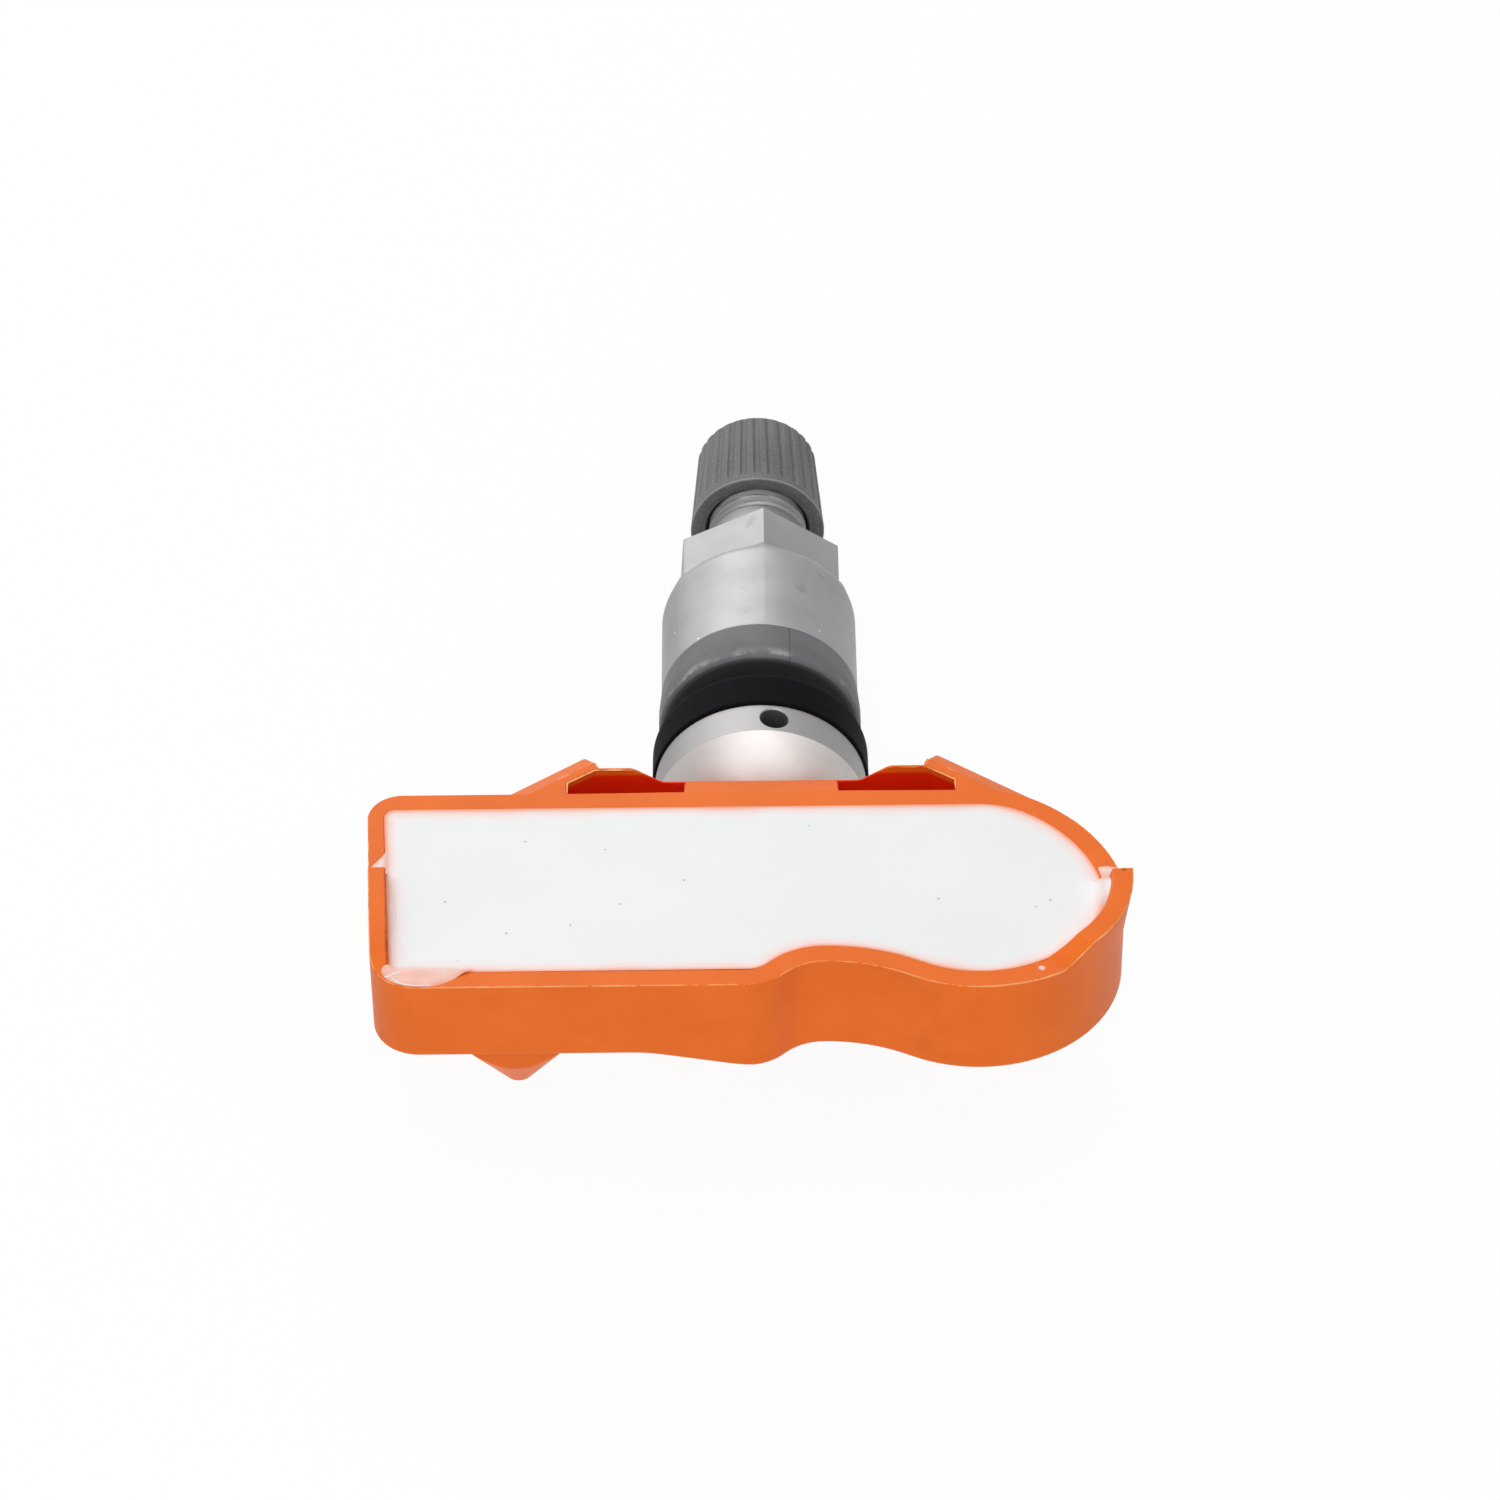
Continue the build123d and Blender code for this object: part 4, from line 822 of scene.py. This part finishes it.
def buildFlash():
    # thin ragged fin left along the rim's outer edge by the mould
    s = housingSpec
    skin, least = s["flashSkin"], s["flashLeast"]
    verts, faces = [], []
    for run in rimEdges():
        path = [Vector(p) for p in run]
        samples = []
        for a, b in zip(path, path[1:]):
            parts = max(1, round((b - a).length / s["flashStep"]))
            samples += [(a.lerp(b, k / parts), (b - a).normalized()) for k in range(parts)]
        samples.append((path[-1], (path[-1] - path[-2]).normalized()))
        start = len(verts)
        for p, along in samples:
            out = Vector((along.y, -along.x, 0)).normalized()
            if out.dot(Vector((p.x, p.y - s["middleY"], 0))) < 0:
                out.negate()
            ragged = sum(noise.noise(p * scale + Vector(shift)) * size for scale, shift, size in s["ragged"])
            full = min(1.0, max(0.0, s["flashMean"] + ragged))
            reach = s["flashWide"] * (least + (1 - least) * full)
            sunk = s["flashSunk"] * (1 - full)
            verts.append(tuple(p - out * reach - Vector((0, 0, skin))))
            verts.append(tuple(p - (out + Vector((0, 0, 1))) * sunk))
            verts.append(tuple(p - out * skin - Vector((0, 0, reach))))
        for k in range(len(samples) - 1):
            a = start + 3 * k
            faces += [(a, a + 1, a + 4, a + 3), (a + 1, a + 2, a + 5, a + 4)]
    cream = plasticFinish("flashCream", s["colour"], s["dark"], 0.5, 5000.0, 0.004)
    piece = weld(newPiece("rimFlash", verts, faces))
    seat(piece, "housing_plastic", "sensor_housing", [], smooth=60, material=cream)


buildHousing()
buildFlash()

# potting: poured compound with a meniscus at the walls, which climbs the lip beside the round end's step
pottingSpec = {"level": 11.1, "rim": 11.2, "wallRise": 0.08, "lipRise": 0.45, "fall": 0.32, "lipFall": 0.6,
               "lipFull": 0.6, "grid": 0.6, "gridFrom": 2.0, "step": 0.25, "skirt": 0.6, "calm": 1.5, "tint": 1.3,
               "topFrom": 11.05, "topFlat": 0.99, "rings": (0.06, 0.14, 0.24, 0.38, 0.56, 0.8, 1.15, 1.6),
               "sparseFrom": 0.5, "nearest": 0.96, "ripples": ((0.55, 3.1, 0.02), (2.2, 7.7, 0.008)),
               "riseMean": 0.75, "riseDrift": 0.5, "riseNoise": (0.8, 0.5), "tintDrift": 0.5, "tintNoise": (0.35, 9.2),
               "spine": (-24.0, 15.0, -27.55), "overlap": 0.03, "lipOverlap": 0.12,
               "corner": (-20.5, -35.2), "cornerTint": 0.2,
               "climb": {"fromX": 20.0, "midY": -28.6, "half": 1.7, "share": 0.85, "tint": 0.5,
                         "overlap": (0.16, 0.34)}}
# the lip over the rim at each end: y of its step, height, and the way from a point along which it rises
lipSpec = {"plain": (-20.0, 14.0), "ease": 0.5,
           "left": {"step": -26.0, "high": 1.0, "point": (0.0, 0.0), "way": (0.0, 1.0), "start": -36.6, "length": 4.1},
           "right": {"step": -27.25, "high": 1.3, "point": (15.0, -27.55), "way": (0.777, 0.629), "start": -1.2,
                     "length": 2.4}}
# films of compound that ran over the rim: what they share, then each one's dome, place and rise of a step,
# tint at its edge and middle, lift and outline
filmSpec = {"parts": 5, "shares": (0.9, 0.78, 0.62, 0.42, 0.2), "edge": 0.3, "tintEdge": 0.6, "stepFall": 0.45,
            "sunk": 0.01, "lowSideTo": -28.0, "drift": 0.5, "driftNoise": (0.9, 1.6, 5.5)}
spillSpec = {
    "frontCorner": {"dome": 0.10, "tint": (0.06, 0.17), "outline": [
        (-26.25, -35.75), (-26.08, -36.28), (-25.75, -36.62), (-25.2, -36.95), (-24.4, -37.22), (-23.4, -37.28),
        (-22.5, -37.24), (-21.5, -36.75), (-20.7, -36.15), (-20.2, -35.75), (-21.6, -35.4), (-23.6, -35.3),
        (-25.0, -35.25), (-25.9, -35.35)]},
    "frontBead": {"dome": 0.08, "tint": (0.30, 0.75), "lift": 0.05, "outline": [
        (-25.6, -36.55), (-24.9, -37.05), (-24.0, -37.28), (-22.9, -37.26), (-22.9, -37.12), (-24.0, -37.1),
        (-24.8, -36.86), (-25.4, -36.42)]},
    "leftStep": {"dome": 0.07, "step": (-26.0, 0.10), "tint": (0.07, 0.34), "outline": [
        (-27.45, -25.95), (-27.4, -24.95), (-27.05, -24.35), (-26.75, -23.9), (-26.48, -23.4), (-26.33, -23.2),
        (-26.3, -24.0), (-26.3, -25.0), (-26.3, -25.95)]},
    "rightStep": {"dome": 0.04, "step": (-27.25, 0.06), "tint": (0.07, 0.3), "outline": [
        (23.82, -27.2), (23.68, -26.6), (23.5, -25.85), (23.75, -25.66), (24.2, -25.62), (24.6, -25.7),
        (24.9, -25.9), (24.95, -27.2)]},
    "bead": {"dome": 0.11, "tint": (0.14, 0.4), "outline": [
        (18.85, -35.95), (18.92, -36.2), (19.12, -36.3), (19.32, -36.2), (19.32, -35.95), (19.1, -35.8)]},
    "skinFold": {"dome": 0.06, "tint": (0.5, 0.9), "lift": 0.03, "outline": [
        (-25.75, -27.6), (-25.55, -28.4), (-25.5, -29.6), (-25.48, -30.9), (-25.6, -30.9), (-25.62, -29.6),
        (-25.66, -28.4)]},
    "cornerFold": {"dome": 0.08, "tint": (0.9, 1.0), "lift": 0.08, "outline": [
        (-25.98, -36.4), (-25.8, -36.43), (-25.38, -36.25), (-24.9, -36.04), (-24.88, -35.92), (-25.38, -36.1),
        (-25.82, -36.3), (-25.98, -36.34)]},
}


def fillOutline(points, count):
    # triangles over all the points inside an outline, which is the first of them
    return delaunay_2d_cdt(points, [(i, (i + 1) % count) for i in range(count)], [list(range(count))], 1, 1e-5)


def outlineGap(points, rim):
    # distance of each point from a closed outline
    points = np.asarray(points, float)
    best = np.full(len(points), 1e9)
    for a, d in zip(rim, np.roll(rim, -1, 0) - rim):
        t = np.clip(((points - a) @ d) / max(d @ d, 1e-12), 0, 1)
        best = np.minimum(best, np.hypot(*(points - a - t[:, None] * d).T))
    return best


def insideOutline(points, rim):
    # which points lie within a closed outline
    ahead = np.roll(rim, -1, 0) - rim
    slope = np.where(ahead[:, 1] == 0, 1e-9, ahead[:, 1])
    flags = []
    for x, y in points:
        crossings = (rim[:, 1] > y) != (np.roll(rim, -1, 0)[:, 1] > y)
        hitX = rim[:, 0] + (y - rim[:, 1]) / slope * ahead[:, 0]
        flags.append(bool(np.count_nonzero(crossings & (x < hitX)) % 2))
    return np.array(flags)


def planNoise(p, scale, layer):
    # noise over the plan, the same each run
    return noise.noise(Vector((p[0] * scale, p[1] * scale, layer)))


def smoothOutline(outline, parts):
    # a smooth closed curve through the points
    ring = []
    for i in range(len(outline)):
        p0, p1, p2, p3 = (Vector(outline[(i + k) % len(outline)]) for k in (-1, 0, 1, 2))
        for k in range(parts):
            t = k / parts
            square, cube = 2 * p0 - 5 * p1 + 4 * p2 - p3, 3 * p1 - p0 - 3 * p2 + p3
            ring.append(0.5 * (2 * p1 + (p2 - p0) * t + square * t * t + cube * t ** 3))
    return ring


def spillFilm(spec, ground):
    # a thin domed film, thicker against a step
    s = filmSpec
    ring = smoothOutline(spec["outline"], s["parts"])
    rim = np.array(ring)
    centre = rim.mean(0)
    points = list(ring)
    for share in s["shares"]:
        points += [Vector(centre + (p - centre) * share) for p in rim[::2]]
    out = fillOutline(points, len(ring))
    flat = np.array([tuple(p) for p in out[0]])
    low, high = spec["tint"]
    scaleX, scaleY, layer = s["driftNoise"]
    verts, tint = [], []
    for (x, y), gap, (base, least) in zip(flat, outlineGap(flat, rim), ground(flat)):
        full = min(1.0, gap / s["edge"])
        height = spec["dome"] * math.sqrt(full * (2 - full))
        if "step" in spec:
            place, rise = spec["step"]
            height += rise * math.exp(-abs(y - place) / s["stepFall"])
        verts.append((x, y, base - s["sunk"] + height + spec.get("lift", 0.0)))
        drift = 1 + s["drift"] * noise.noise(Vector((x * scaleX, y * scaleY, layer)))
        tint.append(max(least, drift * (low + (high - low) * min(1.0, gap / s["tintEdge"]))))
    return verts, [tuple(t) for t in out[2]], tint


def lipHeight(x, y):
    # height of the lip beside a point, eased in at its step
    low, high = lipSpec["plain"]
    if low < x < high:
        return 0.0
    s, ease = lipSpec["left" if x < 0 else "right"], lipSpec["ease"]
    (pointX, pointY), (wayX, wayY) = s["point"], s["way"]
    run = ((x - pointX) * wayX + (y - pointY) * wayY - s["start"]) / s["length"]
    return s["high"] * min(1.0, max(0.0, run)) * eased((s["step"] + ease / 2 - y) / ease)


def pottingOutline():
    # the top's outline, counterclockwise, and the rest of the solid below it
    bm = cadSurface("potting")
    flat, topFrom = pottingSpec["topFlat"], pottingSpec["topFrom"] * mm
    top = {f for f in bm.faces if f.normal.z > flat and f.calc_center_median().z > topFrom}
    pairs = []
    for e in bm.edges:
        if sum(f in top for f in e.link_faces) == 1:
            pairs.append(tuple((round(v.co.x / mm, 4), round(v.co.y / mm, 4)) for v in e.verts))
    loop = max(chainEdges(pairs), key=len)
    bmesh.ops.delete(bm, geom=list(top), context="FACES_ONLY")
    low = bpy.data.meshes.new("pottingLow")
    bm.to_mesh(low)
    bm.free()
    if loop[0] == loop[-1]:
        loop.pop()
    if sum(a[0] * b[1] - b[0] * a[1] for a, b in zip(loop, loop[1:] + loop[:1])) < 0:
        loop.reverse()
    return loop, low


def pottingPoints(rim):
    # rows of points along the wall, then a coarse staggered grid
    s = pottingSpec
    tangent = np.roll(rim, -1, 0) - np.roll(rim, 1, 0)
    inward = np.stack([-tangent[:, 1], tangent[:, 0]], 1)
    inward /= np.linalg.norm(inward, axis=1)[:, None]
    inside = []
    for gap in s["rings"]:
        ring = (rim + inward * gap)[:: 1 if gap < s["sparseFrom"] else 2]
        inside += [tuple(p) for p, d in zip(ring, outlineGap(ring, rim)) if d > s["nearest"] * gap]
    (lowX, lowY), (highX, highY) = rim.min(0), rim.max(0)
    xs, ys = np.arange(lowX, highX, s["grid"]), np.arange(lowY, highY, s["grid"])
    cells = np.array([(x + (0.5 * s["grid"] if j % 2 else 0), y) for j, y in enumerate(ys) for x in xs])
    far = outlineGap(cells, rim) > s["gridFrom"]
    return inside + [tuple(p) for p in cells[far & insideOutline(cells, rim)]]


def meniscus(gap, lip):
    # what is left of the rise at the wall, slower beside the lip
    return math.exp(-gap / (pottingSpec["fall"] * (1 + pottingSpec["lipFall"] * lip)))


def pottingPoint(p, gap):
    # place and tint of a point of the surface
    s, c = pottingSpec, pottingSpec["climb"]
    x, y = p
    high = lipHeight(x, y)
    lip = min(1.0, high / s["lipFull"])
    ripple = sum(planNoise(p, scale, layer) * size for scale, layer, size in s["ripples"])
    ripple *= min(1.0, gap / s["calm"])
    uneven = s["riseMean"] + s["riseDrift"] * planNoise(p, *s["riseNoise"])
    rise = s["wallRise"] + (s["lipRise"] - s["wallRise"]) * lip * uneven
    climb = max(0.0, 1.0 - ((y - c["midY"]) / c["half"]) ** 2) if x > c["fromX"] else 0.0
    rise += max(0.0, c["share"] * high - rise) * climb
    z = s["level"] + ripple + rise * meniscus(gap, lip)
    cornerX, cornerY = s["corner"]  # thin under the film in the front corner
    least = s["cornerTint"] if x < cornerX and y < cornerY else c["tint"] * climb
    spread = 1.0 + s["tintDrift"] * planNoise(p, *s["tintNoise"])
    tint = max(min(1.0, gap / (s["tint"] * spread)), least)
    if gap == 0.0:  # over the ledge, up to the leaning lip
        fromX, toX, middleY = s["spine"]
        away = Vector((x - min(max(x, fromX), toX), y - middleY, 0)).normalized()
        least, more = c["overlap"]
        away *= s["overlap"] + s["lipOverlap"] * lip + climb * (least + more * rise)
        x, y = x + away.x, y + away.y
    return (x, y, z), tint


def buildPotting():
    s = pottingSpec
    corners, low = pottingOutline()
    edge = []
    for a, b in zip(corners, corners[1:] + corners[:1]):
        parts = max(1, round(math.dist(a, b) / s["step"]))
        edge += [(a[0] + (b[0] - a[0]) * k / parts, a[1] + (b[1] - a[1]) * k / parts) for k in range(parts)]
    count = len(edge)
    rim = np.array(edge)
    out = fillOutline([Vector(p) for p in edge + pottingPoints(rim)], count)
    points, tris, sources = out[0], out[2], out[3]
    gaps = outlineGap([tuple(p) for p in points], rim)
    gaps[gaps < 1e-3] = 0.0
    verts, tint = (list(column) for column in zip(*(pottingPoint(p, gap) for p, gap in zip(points, gaps))))
    faces = [tuple(t) for t in tris]
    order = {k: i for i, source in enumerate(sources) for k in source if k < count}
    base = len(verts)
    for k in range(count):  # a skirt down the wall
        x, y, z = verts[order[k]]
        verts.append((x, y, s["level"] - s["skirt"]))
        tint.append(0.0)
        ahead = (k + 1) % count
        faces.append((order[k], base + k, base + ahead, order[ahead]))

    def ground(points):
        # height and least tint of the rim or of the compound under a film
        under = []
        for (x, y), gap, inner in zip(points, outlineGap(points, rim), insideOutline(points, rim)):
            high = lipHeight(x, y)
            lip = min(1.0, high / s["lipFull"])
            fill = s["level"] + (s["wallRise"] + (s["lipRise"] - s["wallRise"]) * lip) * meniscus(gap, lip)
            # the films beside a step lie on its low side
            rimTop = s["rim"] + (high if y < filmSpec["lowSideTo"] else 0.0)
            under.append((fill, max(s["cornerTint"], min(1.0, gap / s["tint"]))) if inner else (rimTop, 0.0))
        return under
    for spec in spillSpec.values():
        filmVerts, filmFaces, filmTint = spillFilm(spec, ground)
        shift = len(verts)
        verts += filmVerts
        tint += filmTint
        faces += [tuple(i + shift for i in face) for face in filmFaces]
    for i, face in enumerate(faces):
        a, b, c = (verts[k] for k in face[:3])
        if len(face) == 3 and (b[0] - a[0]) * (c[1] - a[1]) < (b[1] - a[1]) * (c[0] - a[0]):
            faces[i] = face[::-1]  # every triangle faces up
    piece = newPiece("pottingFill", verts, faces)
    bm = bmesh.new()
    bm.from_mesh(piece.data)
    layer = bm.verts.layers.float.new("wallGap")
    for v, value in zip(bm.verts, tint):
        v[layer] = value
    bm.from_mesh(low)
    bm.to_mesh(piece.data)
    bm.free()
    seat(piece, "potting_compound", "sensor_housing", ["potting"], smooth=40)


buildPotting()
print("pieces ready")

# floor and light; a lamp has its place and size in metres and its power in watts
stageSpec = {"floor": -8.35, "size": 900.0, "steps": 8, "colour": (0.93, 0.93, 0.93), "shadow": 0.06, "world": 0.23,
             "aim": (0, -0.01, 0),
             "lamps": {"backSoftbox": (-0.17, 0.42, 0.34, 0.52, 1.45), "topSoftbox": (0.0, -0.08, 0.50, 0.40, 0.85),
                       "leftSoftbox": (-0.22, -0.28, 0.42, 0.26, 0.32), "rightSoftbox": (0.20, -0.30, 0.42, 0.26, 0.32),
                       "frontSoftbox": (-0.06, -0.55, 0.12, 0.40, 0.8), "edgeLight": (-0.42, 0.45, 0.05, 0.20, 0.24)}}


def showWhite(tree, lit, white, output, share=None):
    # what is seen directly, mirrored or through glass is white, and all else gets the lit shader
    paths = addNode(tree, "ShaderNodeLightPath").outputs
    seen = mathNode(tree, "MAXIMUM", paths["Is Camera Ray"], paths["Is Glossy Ray"])
    seen = mathNode(tree, "MAXIMUM", seen, paths["Is Transmission Ray"])
    blend = addNode(tree, "ShaderNodeMixShader")
    tree.links.new(times(tree, seen, share) if share else seen, blend.inputs[0])
    tree.links.new(lit.outputs[0], blend.inputs[1])
    tree.links.new(white.outputs[0], blend.inputs[2])
    tree.links.new(blend.outputs[0], tree.nodes[output].inputs["Surface"])


def buildFloor():
    s = stageSpec
    steps, rows = s["steps"], s["steps"] + 1
    line = [-s["size"] / 2 + s["size"] * i / steps for i in range(rows)]
    starts = [j * rows + i for j in range(steps) for i in range(steps)]
    floor = newPiece("studioFloor", [(x, y, s["floor"]) for y in line for x in line],
                     [(a, a + 1, a + rows + 1, a + rows) for a in starts])
    material, tree, shader = newMaterial("paleFloor", Roughness=0.9, Specular_IOR_Level=0.1)
    shader.inputs["Base Color"].default_value = (*s["colour"], 1)
    glow = addNode(tree, "ShaderNodeEmission", Strength=1.0)
    showWhite(tree, shader, glow, "Material Output", 1.0 - s["shadow"])
    floor.data.materials.append(material)


def buildLight():
    s = stageSpec
    world = bpy.data.worlds.new("studio")
    scene.world = world
    world.use_nodes = True
    tree = world.node_tree
    soft = tree.nodes["Background"]
    white = addNode(tree, "ShaderNodeBackground")
    for shade, strength in ((soft, s["world"]), (white, 1.0)):
        shade.inputs["Color"].default_value = (1, 1, 1, 1)
        shade.inputs["Strength"].default_value = strength
    showWhite(tree, soft, white, "World Output")
    for name, (x, y, z, size, power) in s["lamps"].items():
        data = bpy.data.lights.new(name, "AREA")
        data.shape, data.size, data.energy = "DISK", size, power
        lamp = addObject(name, data)
        lamp.location = (x, y, z)
        aim = Vector(s["aim"]) - Vector((x, y, z))
        lamp.rotation_euler = aim.to_track_quat("-Z", "Y").to_euler()


buildFloor()
buildLight()

# camera: fitted to the photograph, with the middle of the view in its pixels
viewSpec = {"elevation": 40.5, "roll": 0.6, "distance": 0.4119, "lens": 132.0, "sensor": 36.0, "near": 0.01,
            "frame": 1500, "centre": (760.3, 753.4), "focal": 5500.0}


def placeCamera():
    s = viewSpec
    elev, roll, dist = math.radians(s["elevation"]), math.radians(s["roll"]), s["distance"]
    look = Vector((0, math.cos(elev), -math.sin(elev)))
    up = Vector((0, math.sin(elev), math.cos(elev)))
    side = Vector((1, 0, 0))
    camX = side * math.cos(roll) - up * math.sin(roll)
    camY = side * math.sin(roll) + up * math.cos(roll)
    offX = (s["centre"][0] - s["frame"] / 2) * dist / s["focal"]
    offY = (s["frame"] / 2 - s["centre"][1]) * dist / s["focal"]
    data = bpy.data.cameras.new("camera")
    data.lens, data.sensor_width, data.clip_start = s["lens"], s["sensor"], s["near"]
    camera = addObject("camera", data)
    place = -(camX * offX + camY * offY + look * dist)
    camera.matrix_world = Matrix.Translation(place) @ Matrix((camX, camY, -look)).transposed().to_4x4()
    scene.camera = camera


placeCamera()
print("stage and camera ready")
